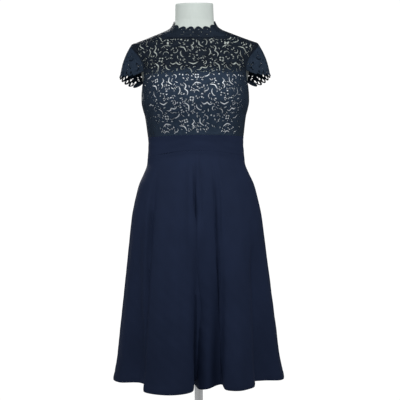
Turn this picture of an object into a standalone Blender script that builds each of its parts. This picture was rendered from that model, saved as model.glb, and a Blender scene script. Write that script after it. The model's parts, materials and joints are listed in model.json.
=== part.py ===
"""Cocktail dress with a lace bodice and a flared skirt, worn by a limbless dress form on a pole stand.

Metres, +Z up. The origin is on the floor under the middle of the base plate, and the dress faces -Y.
Angles run round the figure: 0 is its left side (+X), 90 degrees the centre front, 270 the centre back.
Each cloth piece is cut as a flat pattern, then laid on its surface as a thin closed wall.
"""

import bisect
import itertools
import math
from collections import namedtuple

import bmesh
import bpy
from mathutils import Matrix, Vector
from mathutils.geometry import delaunay_2d_cdt

# ---------------------------------------------------------------- driving dimensions

SEAM = 0.0003  # the gap between pieces that meet
LEFT, FRONT, RIGHT, BACK = (math.radians(turn) for turn in (0, 90, 180, 270))
COLUMNS = 32  # mesh columns round the figure, shared by the layers that lie on it
SIDE_ROWS, SHOULDER_ROWS, ZIP_ROWS = 9, 6, 16  # mesh rows up a side seam, a shoulder and the zip
NUDGE = 1e-4  # the small step that a surface's directions are measured over
SHARP_EDGE = math.radians(50)  # edges that turn more than this are shaded sharp

# How far off the dress form each layer's two faces lie.
Layer = namedtuple("Layer", "inner outer")
LINING = Layer(0.0006, 0.0016)
ZIP_TAPE = Layer(0.0027, 0.0038)
LACE = Layer(0.0033, 0.0045)
BAND = Layer(0.0029, 0.0048)
SKIRT = Layer(0.0029, 0.0045)

# Heights of the seams. The armhole runs from the underarm to the shoulder point.
UNDERARM, SHOULDER_POINT = 1.2436, 1.3630
NECK_SIDE, NECK_FRONT, NECK_BACK = 1.4075, 1.3780, 1.4150
COLLAR_SIDE, COLLAR_FRONT, COLLAR_BACK = 1.4210, 1.4000, 1.4350
BAND_TOP_SIDE, BAND_TOP_FRONT = 1.1060, 1.1090
BAND_FOOT_SIDE, BAND_FOOT_FRONT = 1.0490, 1.0650
LINING_TOP, LINING_UNDERARM, LINING_FOOT = 1.2740, 1.2376, 1.1000
LINING_RISE = (0.20, 0.55)  # from the side, the lining's top climbs between these sines of the angle
LINING_UPPER_ROWS = (0.375, 0.8)  # where its last mesh rows lie, on the way up to its top
ARMHOLE_FRONT, ARMHOLE_BACK = math.radians(27), math.radians(24)  # how far it reaches round

COLLAR_LOBES, COLLAR_LOBE_RISE = 16, 0.0075

# The dress form, one row for each level section.
Section = namedtuple("Section", "height half_width front back power")
FIGURE_ROWS = (
    Section(0.7900, 0.112, 0.074, 0.080, 2.0),
    Section(0.7960, 0.132, 0.088, 0.095, 2.0),
    Section(0.8120, 0.146, 0.099, 0.107, 2.1),
    Section(0.8400, 0.155, 0.106, 0.116, 2.2),
    Section(0.8800, 0.160, 0.109, 0.120, 2.2),
    Section(0.9300, 0.158, 0.107, 0.117, 2.2),
    Section(0.9800, 0.148, 0.101, 0.106, 2.1),
    Section(1.0200, 0.136, 0.097, 0.095, 2.1),
    Section(1.0550, 0.130, 0.095, 0.088, 2.1),
    Section(1.0900, 0.128, 0.095, 0.0865, 2.1),
    Section(1.1200, 0.131, 0.098, 0.088, 2.1),
    Section(1.1650, 0.1370, 0.107, 0.0935, 2.2),
    Section(1.1850, 0.1425, 0.1113, 0.0958, 2.25),
    Section(1.2060, 0.1462, 0.1140, 0.098, 2.3),
    Section(1.2245, 0.1460, 0.1145, 0.0994, 2.3),
    Section(1.2430, 0.1450, 0.1133, 0.1005, 2.3),
    Section(1.2850, 0.1500, 0.103, 0.101, 2.3),
    Section(1.3250, 0.1620, 0.087, 0.096, 2.2),
    Section(1.3500, 0.1745, 0.075, 0.088, 2.1),
    Section(1.3575, 0.1775, 0.0700, 0.083, 2.0),
    Section(1.3640, 0.1755, 0.0665, 0.079, 2.0),
    Section(1.3683, 0.1650, 0.0645, 0.0765, 2.0),
    Section(1.3736, 0.1500, 0.0630, 0.074, 2.0),
    Section(1.3827, 0.1260, 0.0610, 0.070, 2.0),
    Section(1.3930, 0.1000, 0.0595, 0.066, 2.0),
    Section(1.4018, 0.0780, 0.0580, 0.062, 2.0),
    Section(1.4098, 0.0660, 0.0570, 0.0595, 2.0),
    Section(1.4200, 0.0590, 0.0560, 0.0575, 2.0),
    Section(1.4320, 0.0545, 0.0545, 0.0555, 2.0),
    Section(1.4800, 0.0530, 0.0530, 0.0530, 2.0),
)
BUST_ROWS = (1.1425, 1.2640)  # more sections of the form, round the bust
FORM_HEIGHTS = sorted([row.height for row in FIGURE_ROWS] + [LINING_FOOT, *BUST_ROWS])
TIP_EASE, TIP_SPREAD = 0.0035, 0.014  # the form stays this much inside the dress at its shoulder tips
BUST_HEIGHT, BUST_APART, BUST_SPREAD, BUST_DEPTH = 1.212, 0.074, 0.058, 0.018
NECK_CAP_LEAN = 0.075  # the neck's flat top drops this much towards the front, per metre

# The skirt between its folds, one row for each share of the way from the waist seam to the hem.
Flare = namedtuple("Flare", "down half_width front back")
FLARE_ROWS = (
    Flare(0.000, 0.1300, 0.0960, 0.0890),
    Flare(0.034, 0.1358, 0.1030, 0.0985),
    Flare(0.075, 0.1463, 0.1120, 0.1100),
    Flare(0.120, 0.1590, 0.1180, 0.1200),
    Flare(0.180, 0.1690, 0.1250, 0.1310),
    Flare(0.260, 0.1795, 0.1330, 0.1400),
    Flare(0.380, 0.1885, 0.1410, 0.1480),
    Flare(0.530, 0.1990, 0.1490, 0.1560),
    Flare(0.650, 0.2075, 0.1550, 0.1610),
    Flare(0.780, 0.2170, 0.1610, 0.1660),
    Flare(0.900, 0.2255, 0.1660, 0.1700),
    Flare(1.000, 0.2370, 0.1720, 0.1750),
)
HEM_HEIGHT = 0.4310
WAIST_EASE = 0.060  # the share of the way down in which the skirt leaves the figure

# The skirt's folds, one row for each line where the cloth turns. A hem point is a plan point, waist is
# the angle in degrees where the line meets the waist seam, start is where the fold begins, as a share
# of the way down, and drop is how far the hem hangs below HEM_HEIGHT there.
Fold = namedtuple("Fold", "name hem_x hem_y waist start drop")
FOLD_ROWS = (
    Fold("left_side_crest", 0.238, 0.010, 0, 0.00, 0.000),
    Fold("left_side_shoulder", 0.226, -0.052, 14, 0.10, 0.002),
    Fold("left_outer_valley", 0.172, -0.082, 26, 0.38, 0.000),
    Fold("left_fold_outer_edge", 0.148, -0.146, 33, 0.28, 0.009),
    Fold("left_fold_crest", 0.112, -0.182, 50, 0.05, 0.014),
    Fold("left_fold_inner_edge", 0.076, -0.170, 62, 0.02, 0.013),
    Fold("left_inner_valley", 0.060, -0.118, 68, 0.02, 0.002),
    Fold("middle_fold_crest", 0.026, -0.146, 77, 0.02, 0.012),
    Fold("middle_fold_edge", 0.002, -0.136, 86, 0.02, 0.014),
    Fold("middle_valley", -0.009, -0.090, 90, 0.02, 0.002),
    Fold("right_fold_inner_edge", -0.020, -0.176, 94, 0.02, 0.017),
    Fold("right_fold_crest", -0.074, -0.204, 112, 0.03, 0.021),
    Fold("right_fold_outer_edge", -0.144, -0.172, 141, 0.14, 0.016),
    Fold("right_outer_valley", -0.160, -0.098, 152, 0.20, 0.000),
    Fold("right_side_shoulder", -0.216, -0.062, 166, 0.12, 0.002),
    Fold("right_side_crest", -0.238, 0.004, 180, 0.00, 0.000),
    Fold("right_back_shoulder", -0.218, 0.066, 196, 0.12, 0.000),
    Fold("right_back_valley", -0.160, 0.104, 210, 0.30, 0.000),
    Fold("right_back_crest", -0.128, 0.190, 226, 0.10, 0.010),
    Fold("right_back_inner", -0.062, 0.132, 246, 0.25, 0.002),
    Fold("centre_back_edge", -0.038, 0.194, 259, 0.12, 0.012),
    Fold("centre_back_crest", 0.000, 0.206, 270, 0.10, 0.014),
    Fold("centre_back_far_edge", 0.038, 0.194, 281, 0.12, 0.012),
    Fold("left_back_inner", 0.062, 0.130, 294, 0.25, 0.002),
    Fold("left_back_crest", 0.130, 0.188, 314, 0.10, 0.010),
    Fold("left_back_valley", 0.164, 0.106, 330, 0.30, 0.000),
    Fold("left_back_shoulder", 0.220, 0.070, 344, 0.12, 0.000),
)
FOLD_NAMES = [fold.name for fold in FOLD_ROWS]
FOLD_GROWTH = 1.2  # how late a fold deepens on its way down
SKIRT_COLUMNS = 3  # mesh columns from each fold line to the next
SKIRT_DOWN = (0.0, 0.03, 0.07, 0.12, 0.19, 0.30, 0.45, 0.63, 0.82, 1.0)

# The lace's largest gaps, in millimetres from a corner of its repeat. Every second row of repeats is
# moved across by half a repeat. An arc is part of a circle, a vee has one bend and a bracket has two.
# Size is an arc's radius or half a gap's length. Sweep is an arc's angle or a bend's depth.
Gap = namedtuple("Gap", "shape x y size width turn sweep")
MILLIMETRE = 0.001
LACE_WIDE, LACE_TALL = 0.168, 0.112
LACE_GAPS = (
    Gap("bracket", 135.2, 90.5, 15.8, 2.9, 186, 5.6),
    Gap("bracket", 6.6, 32.4, 15.4, 2.9, 92, 5.6),
    Gap("bracket", 63.8, 76.2, 16.5, 2.9, 161, 5.6),
    Gap("bracket", 110.1, 17.0, 18.1, 2.9, 76, 5.6),
    Gap("vee", 88.3, 91.9, 14.2, 2.9, 359, 7.0),
    Gap("vee", 79.7, 31.5, 13.4, 2.9, 168, 7.0),
    Gap("vee", 21.9, 82.7, 14.5, 2.9, 242, 7.0),
    Gap("vee", 152.3, 38.1, 13.4, 2.9, 65, 7.0),
    Gap("vee", 32.2, 24.0, 13.6, 2.9, 217, 7.0),
    Gap("arc", 128.3, 12.4, 12.4, 3.3, 184, 112),
    Gap("arc", 158.6, 78.2, 11.5, 3.3, 318, 112),
    Gap("arc", 49.9, 55.9, 12.4, 3.3, 231, 112),
    Gap("arc", 35.0, 5.9, 11.6, 3.3, 339, 112),
    Gap("arc", 97.6, 70.6, 10.6, 3.3, 143, 112),
    Gap("arc", 80.1, 10.2, 6.3, 2.5, 80, 200),
    Gap("arc", 138.4, 51.9, 5.5, 2.5, 147, 200),
    Gap("arc", 118.2, 77.1, 5.7, 2.5, 15, 200),
    Gap("arc", 56.5, 92.3, 5.5, 2.5, 198, 200),
    Gap("arc", 52.3, 15.5, 5.8, 2.5, 234, 200),
)
LACE_ROWS, LACE_COLUMNS = 4, 2  # rows of repeats up a panel, and repeats each way from its middle
GAP_STEPS = {"arc": 3, "vee": 2, "bracket": 4}  # straight pieces along a gap
VEE_ROUNDING = 1.25  # above 1, so that a vee's arms curve a little
PETAL = ((1, 0), (0.1, 1), (-0.9, 0.6), (-0.9, -0.6), (0.1, -1))  # in half lengths and half widths
GAP_MARGIN = 0.0050  # from a gap to the edge of its piece
WALK_STEP = math.radians(2)  # the stride for measuring cloth along a level section
CLIMB_STEP = 0.004  # and up the panel
PATTERN_ROUND = 0.130  # metres of cloth for each radian round the figure, for even triangles
PATTERN_TURN = math.radians(30)  # the lengths up a panel are measured this far round from its side
PATTERN_STEP = 0.0160  # how far apart a panel's inner points are
FILL_CLEARANCE = 0.6  # an inner point stays this share of the step from every other point

# Cap sleeves, which hang from the armhole between a front and a back foot.
SLEEVE_STEP = math.radians(7.5)
SLEEVE_FRONT_STEPS, SLEEVE_BACK_STEPS = 14, 18
SLEEVE_TIP, SLEEVE_HEM, SLEEVE_BACK_DROP, SLEEVE_END = 0.2075, 1.2830, 0.0300, 0.0110
SLEEVE_FULLNESS, SLEEVE_BULGE, SLEEVE_BULGE_RISE = 0.90, 0.0050, 0.4
SLEEVE_DROP_START = 0.45  # the share of the hem, from the front, after which it drops to the back
SLEEVE_ROLL = 0.2  # the share of the way down in which the cloth turns out of the armhole's wall
SLEEVE_CUT = (0.055, 0.080)  # metres of cloth for each radian and each length of its pattern
SLEEVE_LOBES, SLEEVE_LOBE_RISE = 11, 0.0100
SLEEVE_GAP = Gap("petal", 0.0, 0.0, 9.5, 5.2, 90, 0)
SLEEVE_GAP_UP = 0.004  # from the foot of the lobes to the middle of their gaps

# The concealed zip at the centre back.
ZIP_HALF_WIDTH = 0.0027
ZIP_DOWN = 0.19  # how far down the skirt it ends, one of SKIRT_DOWN
ZIP_TOP = 1.4320
SLIDER_HEIGHT = 1.4230
SLIDER_WIDTH, SLIDER_LENGTH, SLIDER_THICK = 0.0046, 0.0080, 0.0018
BRIDGE_WIDTH, BRIDGE_LENGTH, BRIDGE_RISE, BRIDGE_THICK = 0.0012, 0.0044, 0.0024, 0.0006
TAB_WIDTH, TAB_LENGTH, TAB_THICK = 0.0046, 0.0165, 0.0009
TAB_EYE_WIDTH, TAB_EYE_LENGTH = 0.0024, 0.0036
PLATE_CORNER = 0.0009  # cut off the corners of the slider and the tab

POLE_RADIUS, FLANGE_RADIUS, FLANGE_THICK = 0.0115, 0.0340, 0.0040
BASE_RADIUS, BASE_THICK, BASE_EDGE, HUB_RADIUS, HUB_TOP = 0.1700, 0.0080, 0.0020, 0.0190, 0.0450
POLE_SIDES, BASE_SIDES = 24, 32

Finish = namedtuple("Finish", "name colour roughness metallic")
NAVY_LACE = Finish("navy_lace", (0.016, 0.022, 0.042, 1), 0.75, 0.0)
NAVY_CREPE = Finish("navy_crepe", (0.012, 0.018, 0.045, 1), 0.70, 0.0)
PALE_LINING = Finish("pale_lining", (0.50, 0.55, 0.62, 1), 0.45, 0.0)
FORM_COVER = Finish("form_cover", (0.60, 0.64, 0.61, 1), 0.60, 0.0)
NAVY_TAPE = Finish("navy_tape", (0.010, 0.014, 0.032, 1), 0.80, 0.0)
DARK_METAL = Finish("dark_metal", (0.03, 0.035, 0.05, 1), 0.40, 0.7)
STEEL = Finish("steel", (0.55, 0.56, 0.57, 1), 0.28, 1.0)


# ---------------------------------------------------------------- tables, curves and materials


class Table:
    """Rows of a short table, read between rows along a smooth curve that never overshoots them."""

    def __init__(self, rows):
        self.rows = rows
        self.keys = [row[0] for row in rows]
        self.slopes = [self.slopes_of(column) for column in zip(*rows)]

    def slopes_of(self, values):
        widths = [b - a for a, b in zip(self.keys, self.keys[1:])]
        secants = [(b - a) / width for a, b, width in zip(values, values[1:], widths)]
        inner = [
            0.0 if before * after <= 0 else 2 * before * after / (before + after)
            for before, after in zip(secants, secants[1:])
        ]
        return [secants[0], *inner, secants[-1]]

    def at(self, key):
        key = min(max(key, self.keys[0]), self.keys[-1])
        i = min(bisect.bisect_right(self.keys, key), len(self.keys) - 1) - 1
        width = self.keys[i + 1] - self.keys[i]
        t = (key - self.keys[i]) / width
        values = []
        for low, high, slopes in zip(self.rows[i], self.rows[i + 1], self.slopes):
            start = low * (1 + 2 * t) * (1 - t) ** 2 + slopes[i] * width * t * (1 - t) ** 2
            end = high * (3 - 2 * t) * t**2 + slopes[i + 1] * width * (t - 1) * t**2
            values.append(start + end)
        return type(self.rows[0])(*values)


FIGURE, FLARE = Table(FIGURE_ROWS), Table(FLARE_ROWS)


def smooth(share):
    """0 below 0, 1 above 1, and an even curve between."""
    share = min(max(share, 0.0), 1.0)
    return share * share * (3 - 2 * share)


def between(low, high, share):
    return low + (high - low) * share


def spaced(start, end, count):
    """count + 1 even values from start to end."""
    return [between(start, end, i / count) for i in range(count + 1)]


def square_to(surface, u, v):
    """The unit normal of a surface, towards the outside of the figure."""
    around = surface(u + NUDGE, v) - surface(u - NUDGE, v)
    up = surface(u, v + NUDGE) - surface(u, v - NUDGE)
    return up.cross(around).normalized()


def add_object(name, body, finish):
    """A closed bmesh as a named object, its faces pointing out."""
    bmesh.ops.recalc_face_normals(body, faces=body.faces)
    mesh = bpy.data.meshes.new(name)
    body.to_mesh(mesh)
    body.free()
    mesh.shade_smooth()
    mesh.set_sharp_from_angle(angle=SHARP_EDGE)
    mesh.materials.append(material(finish))
    made = bpy.data.objects.new(name, mesh)
    bpy.context.scene.collection.objects.link(made)
    return made


def material(finish):
    found = bpy.data.materials.get(finish.name)
    if found:
        return found
    made = bpy.data.materials.new(finish.name)
    made.use_nodes = True
    shader = made.node_tree.nodes["Principled BSDF"]
    shader.inputs["Base Color"].default_value = finish.colour
    shader.inputs["Roughness"].default_value = finish.roughness
    shader.inputs["Metallic"].default_value = finish.metallic
    return made


# ---------------------------------------------------------------- the figure's surface and seams


def figure(angle, height):
    """A point on the dress form."""
    row = FIGURE.at(height)
    across, forward = math.cos(angle), math.sin(angle)
    reach = row.front if forward > 0 else row.back
    rounding = (abs(across) ** row.power + abs(forward) ** row.power) ** (-1 / row.power)
    x = row.half_width * across * rounding
    y = -reach * forward * rounding
    if forward > 0:
        beside = (abs(x) - BUST_APART) / BUST_SPREAD
        above = (height - BUST_HEIGHT) / BUST_SPREAD
        y -= BUST_DEPTH * forward**2 * math.exp(-(beside**2) - above**2)
    return Vector((x, y, height))


def on_figure(angle, height, lift):
    """A point that far off the dress form, square to its surface."""
    return figure(angle, height) + square_to(figure, angle, height) * lift


def frontness(angle):
    """0 from side to side round the back, rising to 1 at the centre front."""
    return max(math.sin(angle), 0.0) ** 2


def band_top(angle):
    return between(BAND_TOP_SIDE, BAND_TOP_FRONT, frontness(angle))


def band_foot(angle):
    return between(BAND_FOOT_SIDE, BAND_FOOT_FRONT, frontness(angle))


def round_neck(angle, side, front, back):
    """A height that dips or rises evenly from the neck's sides to its front and back."""
    middle = front if math.sin(angle) > 0 else back
    return between(side, middle, smooth(abs(math.sin(angle))))


def neck_seam(angle):
    return round_neck(angle, NECK_SIDE, NECK_FRONT, NECK_BACK)


def collar_top(angle):
    valley = round_neck(angle, COLLAR_SIDE, COLLAR_FRONT, COLLAR_BACK)
    return valley + COLLAR_LOBE_RISE * abs(math.sin(COLLAR_LOBES * (angle - BACK) / 2))


def lining_top(angle):
    """Straight across the front and back, and lower under the arms."""
    low, high = LINING_RISE
    climb = smooth((abs(math.sin(angle)) - low) / (high - low))
    return between(LINING_UNDERARM, LINING_TOP, climb)


def side_gap(height):
    """The turn from a side seam to the edge of a panel."""
    return SEAM / 2 / FIGURE.at(height).front


def zip_gap(height):
    """The turn from the centre back to the edge of a panel beside the zip."""
    return (ZIP_HALF_WIDTH + SEAM) / FIGURE.at(height).half_width


def armhole(turn, reach, ease=0.0):
    """A point of the armhole's oval: how far round from the side, and how high. Turn 0 is on top."""
    half = (SHOULDER_POINT - UNDERARM) / 2
    height = UNDERARM + half + (half - ease) * math.cos(turn)
    share = (1 + math.cos(turn)) / 2
    round_it = (reach - ease / PATTERN_ROUND) * math.sqrt(max(math.sin(math.pi * share), 0.0))
    return round_it, height


# ---------------------------------------------------------------- cloth walls


def wall(name, points, faces, place, layer, finish):
    """An object: the pattern's faces laid at both faces of a layer, with the rim closed."""
    body = bmesh.new()
    sheets = [[body.verts.new(place(*point, lift)) for point in points] for lift in layer]
    uses = {}
    for face in faces:
        for start, end in zip(face, face[1:] + face[:1]):
            uses.setdefault(frozenset((start, end)), []).append((start, end))
        body.faces.new([sheets[1][i] for i in face])
        body.faces.new([sheets[0][i] for i in reversed(face)])
    for directions in uses.values():
        if len(directions) == 1:
            start, end = directions[0]
            body.faces.new([sheets[1][end], sheets[1][start], sheets[0][start], sheets[0][end]])
    return add_object(name, body, finish)


def grid(columns, rows):
    """The triangles of a grid of points that runs row by row."""
    faces = []
    for row in range(rows - 1):
        for column in range(columns - 1):
            corner = row * columns + column
            above = corner + columns
            faces += [[corner, corner + 1, above + 1], [corner, above + 1, above]]
    return faces


def inside(point, outline):
    """Whether a pattern point is inside an outline."""
    x, y = point
    crossings = 0
    for (ax, ay), (bx, by) in zip(outline, outline[1:] + outline[:1]):
        if (ay > y) != (by > y) and x < (bx - ax) * (y - ay) / (by - ay) + ax:
            crossings += 1
    return crossings % 2 == 1


def cut(outline, gaps, scale, step):
    """Triangles that fill an outline but not its gaps. Scale turns pattern units into metres."""
    wide, *holes = [[(x * scale[0], y * scale[1]) for x, y in loop] for loop in (outline, *gaps)]
    flat, edges = [], []
    for loop in (wide, *holes):
        first = len(flat)
        edges += [(first + i, first + (i + 1) % len(loop)) for i in range(len(loop))]
        flat += loop
    flat += fill(wide, flat, step)
    points, _, faces, *_ = delaunay_2d_cdt([Vector(point) for point in flat], edges, [], 1, 1e-7)
    kept = []
    for face in faces:
        middle = sum((points[i] for i in face), Vector((0, 0))) / len(face)
        if inside(middle, wide) and not any(inside(middle, hole) for hole in holes):
            kept.append(list(face))
    used = sorted({i for face in kept for i in face})
    new = {old: i for i, old in enumerate(used)}
    pattern = [(points[i].x / scale[0], points[i].y / scale[1]) for i in used]
    return pattern, [[new[i] for i in face] for face in kept]


def fill(outline, taken, step):
    """A loose grid of points inside an outline, none close to the points already taken."""
    left, right = min(x for x, _ in outline), max(x for x, _ in outline)
    low, high = min(y for _, y in outline), max(y for _, y in outline)
    found = []
    for row in range(int((high - low) / step) + 1):
        for column in range(int((right - left) / step) + 1):
            x = left + (column + 0.5 * (row % 2)) * step
            y = low + row * step
            clear = all(math.hypot(x - a, y - b) > FILL_CLEARANCE * step for a, b in taken)
            if clear and inside((x, y), outline):
                found.append((x, y))
    return found


def laid(shape, surface, centre):
    """A small shape in metres, laid on a surface round a pattern point, as pattern points."""
    u, v = centre
    around = (surface(u + NUDGE, v) - surface(u - NUDGE, v)) / (2 * NUDGE)
    up = (surface(u, v + NUDGE) - surface(u, v - NUDGE)) / (2 * NUDGE)
    slant = up.dot(around.normalized())
    rise = math.sqrt(up.length_squared - slant**2)
    return [(u + (x - slant * y / rise) / around.length, v + y / rise) for x, y in shape]


# ---------------------------------------------------------------- lace gaps


def gap_path(gap):
    """The line along the middle of a gap that isn't a petal, before it is turned."""
    shares = spaced(-1, 1, GAP_STEPS[gap.shape])
    if gap.shape == "arc":
        half = math.radians(gap.sweep / 2)
        middle = (1 + math.cos(half)) / 2
        return [Vector((math.cos(half * t) - middle, math.sin(half * t))) * gap.size for t in shares]
    if gap.shape == "vee":
        bends = [abs(share) ** VEE_ROUNDING for share in shares]
    else:
        bends = [abs(math.sin(math.pi * share)) for share in shares]
    return [Vector((gap.size * share, gap.sweep * (bend - 0.5))) for share, bend in zip(shares, bends)]


def slit(path, width):
    """The outline of a gap that follows a path and narrows to its ends."""
    left, right = [], []
    for before, point, after in zip(path, path[1:], path[2:]):
        along = (after - before).normalized() * width / 2
        aside = Vector((-along.y, along.x))
        left.append(point + aside)
        right.insert(0, point - aside)
    return [path[0], *left, path[-1], *right]


def gap_shape(gap):
    """A gap's outline about its middle, in metres."""
    if gap.shape == "petal":
        outline = [Vector((x * gap.size / 2, y * gap.width / 2)) for x, y in PETAL]
    else:
        outline = slit(gap_path(gap), gap.width)
    turn = Matrix.Rotation(math.radians(gap.turn), 2)
    return [tuple(turn @ point * MILLIMETRE) for point in outline]


def widened(shape, margin):
    """The corners of a square round each point of a shape."""
    return [(x + a, y + b) for x, y in shape for a in (-margin, margin) for b in (-margin, margin)]


def walk(start, turn, height, length):
    """The angle that lies this length of cloth along a level section."""
    angle, walked = start, 0.0
    while True:
        stride = (figure(angle + turn, height) - figure(angle, height)).length
        if walked + stride >= length:
            return angle + turn * (length - walked) / stride
        walked += stride
        angle += turn


def climb_rows():
    """The length of cloth from the foot of the bodice up to each height, near the sides."""
    rows = [Climb(0.0, BAND_TOP_SIDE)]
    while rows[-1].height < NECK_BACK:
        low = rows[-1]
        high = low.height + CLIMB_STEP
        stride = (figure(PATTERN_TURN, high) - figure(PATTERN_TURN, low.height)).length
        rows.append(Climb(low.length + stride, high))
    return rows


Climb = namedtuple("Climb", "length height")
HEIGHT_OF = Table(climb_rows())
LENGTH_OF = Table([Climb(row.height, row.length) for row in HEIGHT_OF.rows])


def bodice(angle, length):
    """A point of the figure, by its length up the bodice's cloth."""
    return figure(angle, HEIGHT_OF.at(length).height)


def on_bodice(angle, length, lift):
    return on_figure(angle, HEIGHT_OF.at(length).height, lift)


def lace_gaps(outline, middle):
    """The lace's largest gaps that lie wholly inside a panel's outline."""
    found = []
    for gap, row in itertools.product(LACE_GAPS, range(LACE_ROWS)):
        shape = gap_shape(gap)
        up = row * LACE_TALL + gap.y * MILLIMETRE
        height = HEIGHT_OF.at(up).height
        quarter_girth = (FIGURE.at(height).half_width + FIGURE.at(height).front) * math.pi / 4
        for column in range(-LACE_COLUMNS, LACE_COLUMNS):
            across = (column + 0.5 * (row % 2)) * LACE_WIDE + gap.x * MILLIMETRE
            if abs(across) > quarter_girth or up > HEIGHT_OF.keys[-2]:
                continue
            centre = (walk(middle, math.copysign(WALK_STEP, across), height, abs(across)), up)
            near = laid(widened(shape, GAP_MARGIN), bodice, centre)
            if all(inside(point, outline) for point in near):
                found.append(laid(shape, bodice, centre))
    return found


# ---------------------------------------------------------------- bodice


def side_edge(side, towards, reach):
    """A panel's edge from the waist up its side seam, round the armhole and along the shoulder."""
    waist = band_top(side) + SEAM
    lower = spaced(waist, UNDERARM, SIDE_ROWS)[:-1]
    edge = [(side + towards * side_gap(height), height) for height in lower]
    turns = [index * SLEEVE_STEP for index in range(int(math.pi / SLEEVE_STEP), -1, -1)]
    for turn in turns:
        round_it, height = armhole(turn, reach)
        edge.append((side + towards * max(round_it, side_gap(height)), height))
    neck = neck_seam(side) - SEAM
    upper = spaced(SHOULDER_POINT, neck, SHOULDER_ROWS)[1:-1]
    return edge + [(side + towards * side_gap(height), height) for height in upper]


def level_edge(start, end, height_of, shift):
    """A panel's edge along a seam that runs round the figure, through the shared columns."""
    turn = math.tau / COLUMNS / 2
    first, last = min(start, end), max(start, end)
    inner = [i * turn for i in range(int(first / turn) + 1, math.ceil(last / turn))]
    if start > end:
        inner.reverse()
    return [(angle, height_of(angle) + shift) for angle in (start, *inner, end)]


def front_outline():
    left = side_edge(LEFT, 1, ARMHOLE_FRONT)
    right = side_edge(RIGHT, -1, ARMHOLE_FRONT)
    neck = level_edge(side_gap(NECK_SIDE), RIGHT - side_gap(NECK_SIDE), neck_seam, -SEAM)
    foot = level_edge(right[0][0], left[0][0], band_top, SEAM)
    return left + neck + right[::-1] + foot[1:-1]


def back_outline(side, towards):
    """A back panel, from its side seam to the zip."""
    edge = side_edge(side, towards, ARMHOLE_BACK)
    neck_end = BACK - towards * zip_gap(NECK_BACK)
    neck = level_edge(side + towards * side_gap(NECK_SIDE), neck_end, neck_seam, -SEAM)
    heights = spaced(NECK_BACK - SEAM, band_top(BACK) + SEAM, ZIP_ROWS)[1:-1]
    beside_zip = [(BACK - towards * zip_gap(height), height) for height in heights]
    foot_start = BACK - towards * zip_gap(BAND_TOP_SIDE)
    foot = level_edge(foot_start, edge[0][0], band_top, SEAM)
    return edge + neck + beside_zip + foot[:-1]


def build_lace():
    scale = (PATTERN_ROUND, 1.0)
    panels = (
        ("bodice_front", front_outline(), FRONT),
        ("bodice_back_right", back_outline(RIGHT, 1), BACK),
        ("bodice_back_left", back_outline(math.tau, -1), BACK),
    )
    for name, edge, middle in panels:
        outline = [(angle, LENGTH_OF.at(height).height) for angle, height in edge]
        points, faces = cut(outline, lace_gaps(outline, middle), scale, PATTERN_STEP)
        wall(name, points, faces, on_bodice, LACE, NAVY_LACE)


def round_columns(start, end):
    """The shared columns of one panel, drawn in a little at the seams."""
    turn = math.tau / COLUMNS
    return [start, *(i * turn for i in range(int(start / turn) + 1, math.ceil(end / turn))), end]


def build_band_piece(name, start, end, rows, layer, finish):
    """A piece that lies on the figure, given its row heights at each angle."""
    columns = round_columns(start, end)
    levels = list(zip(*(rows(angle) for angle in columns)))
    points = [point for level in levels for point in zip(columns, level)]
    wall(name, points, grid(len(columns), len(levels)), on_figure, layer, finish)


def lining_rows(angle):
    top = lining_top(angle)
    shared = [height for height in FORM_HEIGHTS if LINING_FOOT <= height < LINING_UNDERARM]
    upper = [between(shared[-1], top, share) for share in LINING_UPPER_ROWS]
    return [*shared, *upper, top]


def build_lining():
    gap = side_gap(BAND_TOP_SIDE)
    build_band_piece("lining_front", gap, RIGHT - gap, lining_rows, LINING, PALE_LINING)
    build_band_piece("lining_back", RIGHT + gap, math.tau - gap, lining_rows, LINING, PALE_LINING)


def band_rows(angle):
    return [band_foot(angle), band_top(angle)]


def build_waistband():
    gap, beside_zip = side_gap(BAND_TOP_SIDE), zip_gap(BAND_TOP_SIDE)
    pieces = (
        ("waistband_front", gap, RIGHT - gap),
        ("waistband_back_right", RIGHT + gap, BACK - beside_zip),
        ("waistband_back_left", BACK + beside_zip, math.tau - gap),
    )
    for name, start, end in pieces:
        build_band_piece(name, start, end, band_rows, BAND, NAVY_CREPE)


def build_collar():
    """A stand-up band round the neck with a leaf-lobed top, open at the centre back for the zip."""
    turn = math.tau / (COLUMNS * 2)
    gap = zip_gap(COLLAR_BACK)
    inner = [BACK + i * turn for i in range(1, COLUMNS * 2)]
    angles = [BACK + gap, *inner, BACK + math.tau - gap]
    points = [(angle, neck_seam(angle)) for angle in angles]
    points += [(angle, collar_top(angle)) for angle in angles]
    wall("collar", points, grid(len(angles), 2), on_figure, LACE, NAVY_LACE)


# ---------------------------------------------------------------- sleeves


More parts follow.
